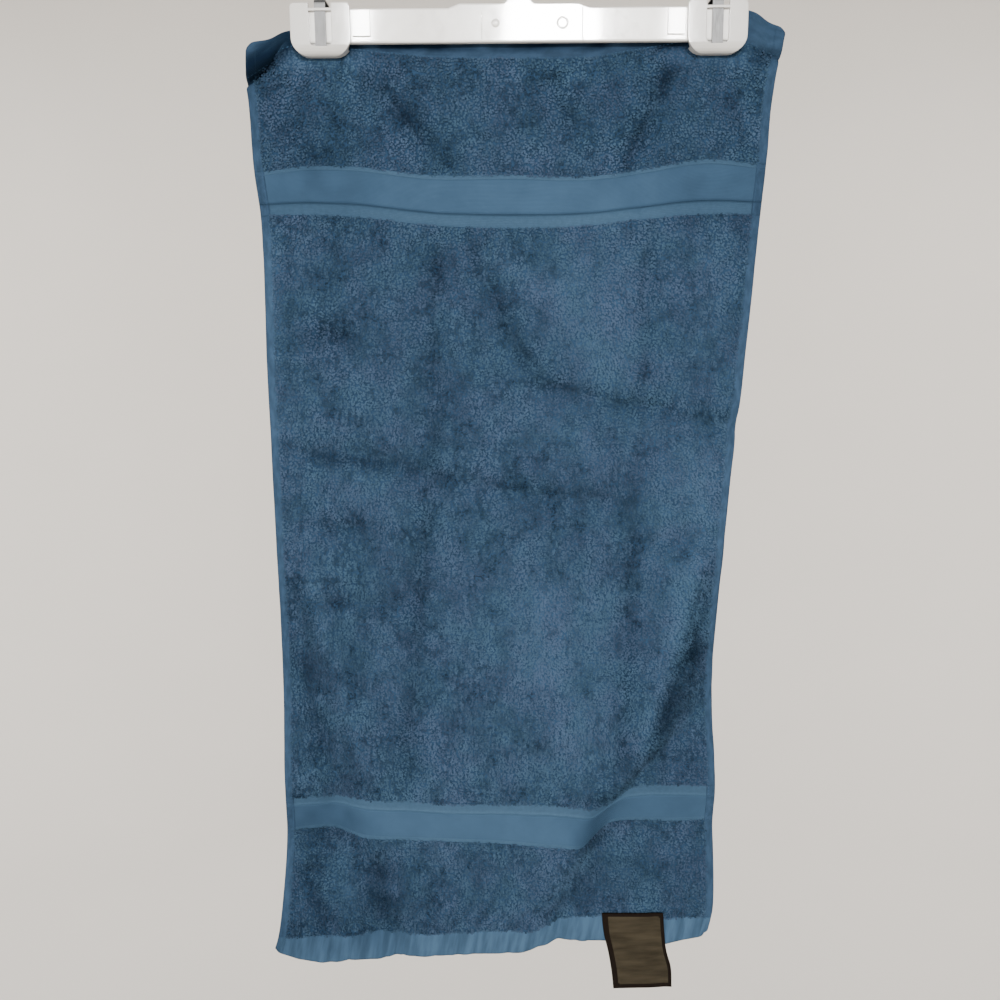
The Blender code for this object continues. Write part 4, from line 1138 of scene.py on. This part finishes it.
class Finish:
    """A material in the making, with short ways to add its nodes."""

    def __init__(self, name, roughness):
        self.material = bpy.data.materials.new(name)
        self.material.use_nodes = True
        self.tree = self.material.node_tree
        self.shader = self.tree.nodes["Principled BSDF"]
        self.set({"Roughness": roughness})

    def feed(self, node, inputs):
        """Gives inputs of a node their values, each a number, a colour or another node's output."""
        for name, value in inputs.items():
            if isinstance(value, bpy.types.NodeSocket):
                self.tree.links.new(value, node.inputs[name])
            else:
                node.inputs[name].default_value = value

    def set(self, inputs):
        """Gives inputs of the surface their values."""
        self.feed(self.shader, inputs)

    def node(self, kind, inputs, output, **settings):
        """Adds a node and gives one of its outputs."""
        made = self.tree.nodes.new("ShaderNode" + kind)
        for key, value in settings.items():
            setattr(made, key, value)
        self.feed(made, inputs)
        return made.outputs[output]

    def scaled(self, where, scale):
        """Coordinates that run faster or slower each way."""
        return self.node("Mapping", {"Vector": where, "Scale": scale}, "Vector")

    def on_cloth(self, wide, tall):
        """Metres across and down the cloth, from the piece's own map."""
        return self.scaled(self.node("UVMap", {}, "UV", uv_map="OFBake"), (wide * MM, tall * MM, 1.0))

    def on_piece(self):
        """Metres along the piece's own axes."""
        return self.node("TexCoord", {}, "Object")

    def nap_and_shade(self):
        """How light the cloth is, by its brushed nap and its painted shade and light."""
        return self.node("Attribute", {}, "Fac", attribute_name="nap_and_shade")

    def noise(self, where, lump, detail=3.0, roughness=0.6):
        """Noise with lumps of about the given size in metres."""
        inputs = {"Vector": where, "Scale": 1.0 / lump, "Detail": detail, "Roughness": roughness}
        return self.node("TexNoise", inputs, "Fac")

    def patches(self, where, lump, detail=3.0, roughness=0.6):
        """Noise that is spread out into clear patches."""
        return self.stretch(self.noise(where, lump, detail, roughness), 0.3, 0.7)

    def ribs(self, where, pitch, direction, wobble=1.0):
        """Straight woven ribs at a pitch in metres."""
        inputs = {"Vector": where, "Scale": math.pi / 10 / pitch, "Distortion": wobble, "Detail": 1.0}
        kind = {"wave_type": "BANDS", "bands_direction": direction, "wave_profile": "SIN"}
        return self.node("TexWave", inputs, "Fac", **kind)

    def stretch(self, value, low, high, low_out=0.0, high_out=1.0):
        """The part of a value from low to high, spread from low_out to high_out."""
        limits = {"From Min": low, "From Max": high, "To Min": low_out, "To Max": high_out}
        return self.node("MapRange", {"Value": value, **limits}, "Result", interpolation_type="SMOOTHSTEP")

    def sum(self, first, second, share=1.0):
        """A value with a share of another added."""
        return self.node("Math", {0: second, 1: share, 2: first}, "Value", operation="MULTIPLY_ADD")

    def mix(self, share, first, second):
        """A colour between two, each a colour or another node's output."""
        ends = {MIX_FIRST: first, MIX_SECOND: second}
        for place, end in ends.items():
            if not isinstance(end, bpy.types.NodeSocket):
                ends[place] = (*end[:3], 1.0)
        return self.node("Mix", {"Factor": share, **ends}, MIX_RESULT, data_type="RGBA")

    def shades(self, share, colour, darker, lighter):
        """A colour between two shades of one."""
        return self.mix(share, tone(colour, darker), tone(colour, lighter))

    def napped_and_shaded(self, source):
        """A colour, made lighter or darker by the way that the cloth is brushed and by painted shade and
        light.
        """
        light = self.mix(self.stretch(self.nap_and_shade(), NAP_AND_SHADE_DEEPEST, 1.0), NAP_AND_SHADE_DARK, NAP_AND_SHADE_LIGHT)
        return self.node("VectorMath", {0: source, 1: light}, "Vector", operation="MULTIPLY")

    def bump(self, height, distance, **base):
        """Low relief on the surface, over the normals of a base where one is given."""
        inputs = {"Distance": distance, "Strength": 1.0, "Height": height, **base}
        self.set({"Normal": self.node("Bump", inputs, "Normal")})

    def sheen(self, weight):
        """The soft light that stray fibres catch, over cloth that hardly shines."""
        tint = (*bpy.context.scene.towel_colours.sheen, 1.0)
        self.set({"Sheen Weight": weight, "Sheen Roughness": SHEEN_SPREAD, "Sheen Tint": tint})
        self.set({"Specular IOR Level": CLOTH_SHINE})


def tone(colour, by):
    """A colour made lighter or darker."""
    return tuple(min(1.0, c * by) for c in colour[:3])


def tinted(colour, by, purple):
    """A dyed colour made lighter or darker, and turned to purple or, where that is negative, to green."""
    red, green, blue = tone(colour, by)
    return red * (1 + 2 * purple), green * (1 - 0.5 * purple), blue * (1 + 0.3 * purple)


def deep(colour, by):
    """A dyed colour made darker, and a little bluer with it."""
    red, green, blue = tone(colour, by)
    return red * 0.8, green * 0.98, blue * 1.12


CLOTH_MAP = (TOWEL_WIDTH / MAP_HALF, TOWEL_LENGTH)
LABEL_MAP = (LABEL_FLAT[0] / MAP_HALF, LABEL_FLAT[1])
LOOP_CELL = 0.0014
GREENISH, PURPLISH = -0.035, 0.045


def make_ground():
    """The ground weave that shows between the loops."""
    finish = Finish("terry ground", 0.95)
    where = finish.on_cloth(*CLOTH_MAP)
    colour = bpy.context.scene.towel_colours.terry
    clumps = finish.patches(where, 0.009, 4.0, 0.7)
    ground = finish.mix(clumps, deep(colour, 0.55), deep(colour, 0.95))
    finish.set({"Base Color": finish.napped_and_shaded(ground)})
    finish.bump(finish.node("TexVoronoi", {"Scale": 1 / LOOP_CELL, "Vector": where}, "Distance"), 0.0006)
    finish.sheen(0.1)
    return finish.material


def make_loops():
    """Cotton yarn of the loops, lighter or darker by the way that the nap is brushed and by painted
    shade and light.
    """
    finish = Finish("terry loops", 0.92)
    colour = bpy.context.scene.towel_colours.terry
    where = finish.on_cloth(TOWEL_WIDTH, TOWEL_LENGTH)
    speckle = finish.stretch(finish.noise(where, 0.0026, 2.0), 0.3, 0.7, -0.5, 0.5)
    level = finish.sum(finish.nap_and_shade(), speckle, 0.1)
    hue = finish.stretch(finish.noise(where, 0.045), 0.35, 0.65)
    # The dark end stands for painted shade and dark nap, the light end for painted highlights and light nap
    dark, light = (
        finish.mix(hue, tinted(shade, by, GREENISH), tinted(shade, by, PURPLISH))
        for shade, by in ((deep(colour, 0.27), 1.0), (colour, 1.7))
    )
    finish.set({"Base Color": finish.mix(finish.stretch(level, NAP_AND_SHADE_DEEPEST, 1.0), dark, light)})
    finish.sheen(0.05)
    return finish.material


# A woven finish. Its two sets of ribs have each a direction and a pitch in metres; wobble is how far they
# stray, and share the second set's part in the weave. Its wear lies in patches, drawn out by a factor each
# way, of a size in metres, which take the colour between two tones. gaps are the two tones between the ribs,
# and how high the weave has to stand to be clear of them. relief is how high the weave stands in metres, and
# how much of the wear stands with it.
Weave = namedtuple(
    "Weave", "title roughness ways pitches wobble share drawn patch tones gaps relief sheen"
)
MAIN_BAND = Weave(
    "border main band", 0.7, "YX", (0.0009, 0.0007), 0.6, 0.45,
    (1.0, 1.0, 1.0), (0.03, 4.0, 0.6), (0.9, 1.08), (0.76, 0.86, 1.45), (0.00018, 0.0), 0.08,
)
EDGE_BANDS = Weave(
    "border edge bands", 0.8, "XY", (0.0008, 0.0012), 0.8, 0.6,
    (1.0, 1.0, 1.0), (0.0035, 3.0, 0.6), (0.88, 1.1), (0.8, 0.8, 1.6), (0.00022, 0.8), 0.1,
)
LOW_HEM = Weave(
    "low hem", 0.8, "XY", (0.0008, 0.0008), 0.8, 1.0,
    (0.62, 0.1, 1.0), (0.005, 3.0, 0.55), (0.74, 1.3), None, (0.00025, 1.5), 0.08,
)
SIDE_HEMS = LOW_HEM._replace(title="side hem", roughness=0.88, drawn=(1.0, 0.5, 1.0), tones=(0.78, 1.2))
TOP_HEM = LOW_HEM._replace(title="top hem", roughness=0.85, drawn=(0.4, 0.8, 1.0), tones=(0.85, 1.25))
LABEL_FACE = Weave(
    "label weave", 0.62, "YX", (0.0008, 0.0006), 0.5, 0.6,
    (0.18, 1.0, 1.0), (0.009, 3.0, 0.6), (0.76, 1.38), (0.5, 1.05, 1.6), (0.00015, 0.0), 0.0,
)
# The top hem is the side hems' colour, deeper by this: painted shade under the bar
TOP_HEM_SHADE = 0.82


def make_woven(weave, colour, size, with_nap_and_shade=True):
    """A woven finish on a map of the given size in millimetres."""
    finish = Finish(weave.title, weave.roughness)
    where = finish.on_cloth(*size)
    first, second = (
        finish.ribs(where, pitch, way, weave.wobble) for way, pitch in zip(weave.ways, weave.pitches)
    )
    ribs = finish.sum(first, second, weave.share)
    wear = finish.patches(finish.scaled(where, weave.drawn), *weave.patch)
    base = finish.shades(wear, colour, *weave.tones)
    if weave.gaps:
        darker, lighter, clear = weave.gaps
        low = finish.shades(wear, colour, darker, lighter)
        base = finish.mix(finish.stretch(ribs, 0.0, clear), low, base)
    finish.set({"Base Color": finish.napped_and_shaded(base) if with_nap_and_shade else base})
    rise, wear_share = weave.relief
    finish.bump(finish.sum(ribs, wear, wear_share) if wear_share else ribs, rise)
    finish.sheen(weave.sheen)
    return finish.material


def cloth_weaves():
    """The cloth's woven finishes, in the order of their zones."""
    colours = bpy.context.scene.towel_colours
    dyed = (
        (MAIN_BAND, colours.woven),
        (EDGE_BANDS, colours.woven_edge),
        (LOW_HEM, colours.hem),
        (SIDE_HEMS, colours.side_hem),
        (TOP_HEM, tone(colours.side_hem, TOP_HEM_SHADE)),
    )
    return [make_woven(weave, colour, CLOTH_MAP) for weave, colour in dyed]


def make_label_weave():
    """The label's bare brown face."""
    return make_woven(LABEL_FACE, bpy.context.scene.towel_colours.label, LABEL_MAP, with_nap_and_shade=False)


def make_label_edge():
    """The label's folded edge: slanted ribs on nearly black cloth."""
    finish = Finish("label edge", 0.7)
    ribs = finish.ribs(finish.on_cloth(*LABEL_MAP), 0.0009, "DIAGONAL")
    edge = bpy.context.scene.towel_colours.label_edge
    finish.set({"Base Color": finish.shades(ribs, edge, 0.7, 1.3)})
    finish.bump(ribs, 0.00015)
    finish.sheen(0.0)
    return finish.material


def make_thread():
    """Sewing thread, with its twist as a fine change of tone."""
    finish = Finish("sewing thread", 0.6)
    twist = finish.stretch(finish.noise(finish.on_piece(), 0.0006, 2.0), 0.35, 0.65)
    finish.set({"Base Color": finish.shades(twist, bpy.context.scene.towel_colours.thread, 0.85, 1.15)})
    finish.sheen(0.2)
    return finish.material


def make_plastic(name, shade=1.0):
    """Glossy moulded plastic, with softly rounded edges and a faint orange peel."""
    finish = Finish(name, 0.22)
    look = bpy.context.scene.hanger_finish
    place = finish.on_piece()
    cloud = finish.shades(finish.patches(place, 0.03), look.plastic, 0.96 * shade, 1.03 * shade)
    scuffs = finish.noise(place, 0.006, 5.0, 0.7)
    worn = finish.stretch(scuffs, 0.3, 0.75, look.gloss, look.gloss + 0.14)
    finish.set({"Base Color": cloud, "Roughness": worn})
    rounded = finish.node("Bevel", {"Radius": look.edge_radius}, "Normal", samples=6)
    finish.bump(finish.noise(place, 0.004, 1.0), 0.000012, Normal=rounded)
    finish.set({"Specular IOR Level": 0.3, "Coat Weight": 0.6, "Coat Roughness": 0.05})
    return finish.material


def make_steel(name, roughness, shade=1.0):
    """Steel with fine drawn lines along it."""
    finish = Finish(name, roughness)
    steel = bpy.context.scene.hanger_finish.steel
    lines = finish.noise(finish.scaled(finish.on_piece(), (1.0, 1.0, 0.08)), 0.0006)
    drawn = finish.shades(finish.stretch(lines, 0.3, 0.7), steel, 0.85 * shade, 1.1 * shade)
    worn = finish.stretch(lines, 0.3, 0.7, roughness, roughness + 0.15)
    finish.set({"Metallic": 1.0, "Base Color": drawn, "Roughness": worn})
    return finish.material


def make_wall_paint():
    """Matt paint with a faint cloudiness."""
    finish = Finish("pale wall", 0.9)
    cloud = finish.patches(finish.on_piece(), 0.6, 2.0)
    finish.set({"Base Color": finish.shades(cloud, bpy.context.scene.stage_light.wall, 0.985, 1.01)})
    return finish.material


def repaint(name, finish):
    """A new finish for a node of the frame."""
    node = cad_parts[name]
    node.data.materials.clear()
    node.data.materials.append(finish)


# ---------------------------------------------------------------- stage

# The lamps behind the viewer that also shine in the plastic: where each is on X, how wide, and its share of
# the lamp power
Lamp = namedtuple("Lamp", "name x wide share")
LAMPS = (
    Lamp("lamp_middle", 0.178, 0.34, 1.0),
    Lamp("lamp_left_stop", -0.492, 0.068, 0.75),
    Lamp("lamp_right_stop", 0.618, 0.064, 0.65),
)
LAMP_Y, LAMP_Z, LAMP_TALL = -3.2, 0.61, 0.215

# The backdrop in metres: its floor's height, how far that is flat, the radius of its bend, its top's height
BACKDROP = (-1.75, 2.0, 1.5, 2.6)
BACKDROP_STEPS = 96

# The other lights: where the soft one is, its size and colour, and where the back ones are (one on each side
# of the middle), what they are aimed at, and their size
SOFT_PLACE, SOFT_SIZE, SOFT_COLOUR = (-1.1, -1.7, -0.15), (0.8, 0.8), (1.0, 0.99, 0.97)
BACK_X, BACK_Y, BACK_Z, BACK_SIZE = 1.5, 1.5, 0.1, (1.4, 1.4)
BACK_AIM_Y, BACK_AIM_Z = 2.6, -1.6
SKY_COLOUR = (0.95, 0.97, 1.0, 1.0)
TOWEL_MIDDLE = (0.0, 0.0, -0.45)


def make_backdrop():
    """A floor that rises in one wide curve to a round wall, with the towel hanging in its middle."""
    floor_z, flat, bend, top = BACKDROP
    profile = [(0.001, floor_z), (flat / 2, floor_z), (flat, floor_z)]
    profile += arc((flat, floor_z + bend), bend, 270, 360, 16)[1:]
    profile += [(flat + bend, floor_z + bend + k * (top - floor_z - bend) / 4) for k in range(1, 5)]
    steps, count = BACKDROP_STEPS, len(profile)
    points = np.array([
        (r * math.cos(2 * math.pi * s / steps), r * math.sin(2 * math.pi * s / steps), z)
        for s in range(steps) for r, z in profile
    ])
    faces = np.array(turned_faces(steps, count))
    obj = quad_mesh("backdrop", points / MM, faces, np.zeros((len(points), 2)))
    obj.data.materials.append(make_wall_paint())
    return obj


def add_light(name, place, aim, size, power, colour=(1.0, 1.0, 1.0)):
    """A flat lamp at a place in metres, turned to what it is aimed at."""
    light = bpy.data.lights.new(name, "AREA")
    light.shape = "RECTANGLE"
    light.size, light.size_y = size
    light.energy = power
    light.color = colour
    obj = add_object(name, light)
    obj.location = place
    obj.rotation_euler = (Vector(aim) - Vector(place)).to_track_quat("-Z", "Y").to_euler()


def add_camera():
    """A camera with the lens, tilt and turn that the towel was seen with."""
    tilt, aim = math.radians(CAMERA_TILT), Vector(CAMERA_AIM) * MM
    direction = Vector((0.0, math.cos(tilt), -math.sin(tilt)))
    camera = bpy.data.cameras.new("camera")
    camera.sensor_width = SENSOR
    camera.lens = SENSOR * LENS_PIXELS / FRAME_PIXELS
    camera.clip_start, camera.clip_end = 0.05, 50.0
    obj = add_object("camera", camera)
    obj.location = aim - direction * CAMERA_DISTANCE * MM
    obj.rotation_mode = "QUATERNION"
    turn = Quaternion((0.0, 0.0, 1.0), -math.radians(CAMERA_ROLL))
    obj.rotation_quaternion = direction.to_track_quat("-Z", "Y") @ turn
    bpy.context.scene.camera = obj


# ---------------------------------------------------------------- properties


def length_setting(name, description, default, least=0.0):
    """A property for a size, given here in millimetres."""
    return bpy.props.FloatProperty(
        name=name, description=description, default=default * MM, min=least * MM,
        subtype="DISTANCE", unit="LENGTH", precision=5,
    )


def colour_setting(name, description, *default):
    """A property for a colour."""
    return bpy.props.FloatVectorProperty(
        name=name, description=description, default=default, min=0.0, max=1.0, subtype="COLOR",
    )


def power_setting(name, description, default):
    """A property for the power of a lamp in watts."""
    return bpy.props.FloatProperty(
        name=name, description=description, default=default, min=0.0, unit="POWER",
    )


class TowelSizes(bpy.types.PropertyGroup):
    """Sizes of the cloth's surface."""

    pile_height: length_setting("Pile height", "How far a loop stands out of the ground weave", 1.9)
    front_pitch: length_setting("Loop pitch, front", "Distance between loops on the front", 1.85, 0.5)
    back_pitch: length_setting("Loop pitch, back", "Distance between loops on the back", 2.4, 0.5)
    unevenness: length_setting("Unevenness", "How far the cloth wanders from its main folds", 1.1)
    stitch_pitch: length_setting("Stitch pitch", "Distance from one stitch to the next", 3.0, 1.0)


class TowelColours(bpy.types.PropertyGroup):
    """Colours of the dyed cotton, the thread and the label."""

    terry: colour_setting("Terry", "Dyed cotton of the loops", 0.0285, 0.0505, 0.0822)
    woven: colour_setting("Woven main band", "The middle of the flat borders", 0.037, 0.073, 0.1222)
    woven_edge: colour_setting("Woven edge bands", "The edges of the flat borders", 0.0425, 0.0812, 0.13)
    hem: colour_setting("Low hem", "Folded hem at the low end", 0.0455, 0.0855, 0.139)
    side_hem: colour_setting("Side hems", "Narrow side hems, and the top hem", 0.0325, 0.061, 0.105)
    sheen: colour_setting("Sheen", "Colour of the fibres that catch light at the outline", 0.26, 0.56, 0.95)
    thread: colour_setting("Thread", "Sewing thread of the hems", 0.0235, 0.053, 0.096)
    label: colour_setting("Label", "Face of the woven label", 0.0365, 0.0302, 0.0195)
    label_edge: colour_setting("Label edge", "Folded edge of the label", 0.0075, 0.0052, 0.0038)


class HangerFinish(bpy.types.PropertyGroup):
    """Finish of the hanger's plastic and steel."""

    plastic: colour_setting("Plastic", "White plastic of the bar and clips", 0.8, 0.782, 0.742)
    steel: colour_setting("Steel", "Hook wire and spring strips", 0.5, 0.5, 0.5)
    gloss: bpy.props.FloatProperty(
        name="Roughness", description="Lowest roughness of the plastic",
        default=0.14, min=0.0, max=1.0, subtype="FACTOR",
    )
    edge_radius: length_setting("Edge radius", "How softly the plastic's edges catch light", 0.9)


class StageLight(bpy.types.PropertyGroup):
    """Light and backdrop."""

    wall: colour_setting("Wall", "Paint of the backdrop", 0.718, 0.68, 0.628)
    lamps: power_setting("Lamps", "Power of the viewer's lamps, for each metre of their width", 360.0)
    soft: power_setting("Soft light", "Power of the soft light from the left", 20.0)
    back: power_setting("Back lights", "Power of each light on the backdrop behind the towel", 28.0)
    sky: bpy.props.FloatProperty(
        name="Sky", description="Strength of the even light from all around", default=0.42, min=0.0,
    )


# ---------------------------------------------------------------- operators and panel


class TOWEL_OT_cloth(bpy.types.Operator):
    """Build the towel's cloth with its woven borders and folded hems"""

    bl_idname = "towel.cloth"
    bl_label = "Cloth"

    def execute(self, context):
        cloth = make_cloth(context.scene.towel_sizes)
        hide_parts("towel")
        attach(cloth, "root")
        return {"FINISHED"}


class TOWEL_OT_pile(bpy.types.Operator):
    """Build the terry loops on both faces of the cloth"""

    bl_idname = "towel.pile"
    bl_label = "Pile"

    def execute(self, context):
        sizes = context.scene.towel_sizes
        finish = make_loops()
        faces = (("front", 1, sizes.front_pitch / MM), ("back", -1, sizes.back_pitch / MM))
        for face, side, pitch in faces:
            for seed, (band, low, high) in enumerate(pile_bands()):
                name = f"pile_{face}_{band}"
                pile = make_pile(name, side, low, high, pitch, sizes, 20 + seed + 10 * (side < 0))
                pile.data.materials.append(finish)
                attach(pile, "root")
        return {"FINISHED"}


class TOWEL_OT_stitches(bpy.types.Operator):
    """Sew the end hems and the side hems"""

    bl_idname = "towel.stitches"
    bl_label = "Hem stitches"

    def execute(self, context):
        stitches = make_stitches(context.scene.towel_sizes)
        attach(stitches, "root")
        return {"FINISHED"}


class TOWEL_OT_label(bpy.types.Operator):
    """Make the bare woven label with its dark folded edge"""

    bl_idname = "towel.label"
    bl_label = "Label"

    def execute(self, context):
        label = make_label()
        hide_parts("label")
        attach(label, "root")
        return {"FINISHED"}


class TOWEL_OT_hanger(bpy.types.Operator):
    """Finish the bar, the clips and their springs, and bend the hook's wire"""

    bl_idname = "towel.hanger"
    bl_label = "Hanger"

    def execute(self, context):
        plastic = make_plastic("bar plastic")
        repaint("bar", plastic)
        # The clips have the bar's plastic, painted darker as shade
        shaded_jaws = make_plastic("clip plastic", 0.71)
        # The springs have the hook's steel, painted darker as shade in the clips' slots
        spring = make_steel("spring steel", 0.42, 0.27)
        for side in ("left", "right"):
            repaint("clip_front_" + side, shaded_jaws)
            repaint("clip_back_" + side, shaded_jaws)
            repaint("spring_" + side, spring)
        marks = make_mould_marks()
        marks.data.materials.append(plastic)
        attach(marks, "root")
        hook = make_hook()
        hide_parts("hook")
        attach(hook, "root")
        return {"FINISHED"}


class TOWEL_OT_stage(bpy.types.Operator):
    """Set up the pale backdrop, the soft lights and the camera"""

    bl_idname = "towel.stage"
    bl_label = "Stage"

    def execute(self, context):
        light = context.scene.stage_light
        make_backdrop()
        for lamp in LAMPS:
            place = (lamp.x, LAMP_Y, LAMP_Z)
            power = light.lamps * lamp.wide * lamp.share
            add_light(lamp.name, place, TOWEL_MIDDLE, (lamp.wide, LAMP_TALL), power)
        add_light("soft_left", SOFT_PLACE, TOWEL_MIDDLE, SOFT_SIZE, light.soft, SOFT_COLOUR)
        for name, x in (("back_left", -BACK_X), ("back_right", BACK_X)):
            add_light(name, (x, BACK_Y, BACK_Z), (x / 2, BACK_AIM_Y, BACK_AIM_Z), BACK_SIZE, light.back)
        world = bpy.data.worlds.new("even light")
        world.use_nodes = True
        sky = world.node_tree.nodes["Background"]
        sky.inputs["Color"].default_value = SKY_COLOUR
        sky.inputs["Strength"].default_value = light.sky
        context.scene.world = world
        add_camera()
        return {"FINISHED"}


class TOWEL_PT_panel(bpy.types.Panel):
    """Lists the steps that build the towel, and its sizes, colours and light."""

    bl_idname = "TOWEL_PT_panel"
    bl_label = "Hand towel"
    bl_space_type = "VIEW_3D"
    bl_region_type = "UI"
    bl_category = "Towel"

    def draw(self, context):
        for step in STEPS:
            self.layout.operator(step.bl_idname)
        for group in GROUPS:
            box = self.layout.box()
            settings = getattr(context.scene, GROUPS[group])
            for name in group.__annotations__:
                box.prop(settings, name)


STEPS = (
    TOWEL_OT_cloth,
    TOWEL_OT_pile,
    TOWEL_OT_stitches,
    TOWEL_OT_label,
    TOWEL_OT_hanger,
    TOWEL_OT_stage,
)
GROUPS = {
    TowelSizes: "towel_sizes",
    TowelColours: "towel_colours",
    HangerFinish: "hanger_finish",
    StageLight: "stage_light",
}


def register():
    """Adds the classes, and the settings to each scene."""
    for group, place in GROUPS.items():
        bpy.utils.register_class(group)
        setattr(bpy.types.Scene, place, bpy.props.PointerProperty(type=group))
    for cls in (*STEPS, TOWEL_PT_panel):
        bpy.utils.register_class(cls)


def unregister():
    """Takes away what register added."""
    for cls in (TOWEL_PT_panel, *reversed(STEPS)):
        bpy.utils.unregister_class(cls)
    for group, place in GROUPS.items():
        delattr(bpy.types.Scene, place)
        bpy.utils.unregister_class(group)


def main():
    """Builds the towel in the frame."""
    register()
    bpy.ops.towel.cloth()
    bpy.ops.towel.pile()
    bpy.ops.towel.stitches()
    bpy.ops.towel.label()
    bpy.ops.towel.hanger()
    bpy.ops.towel.stage()


if __name__ == "__main__":
    main()
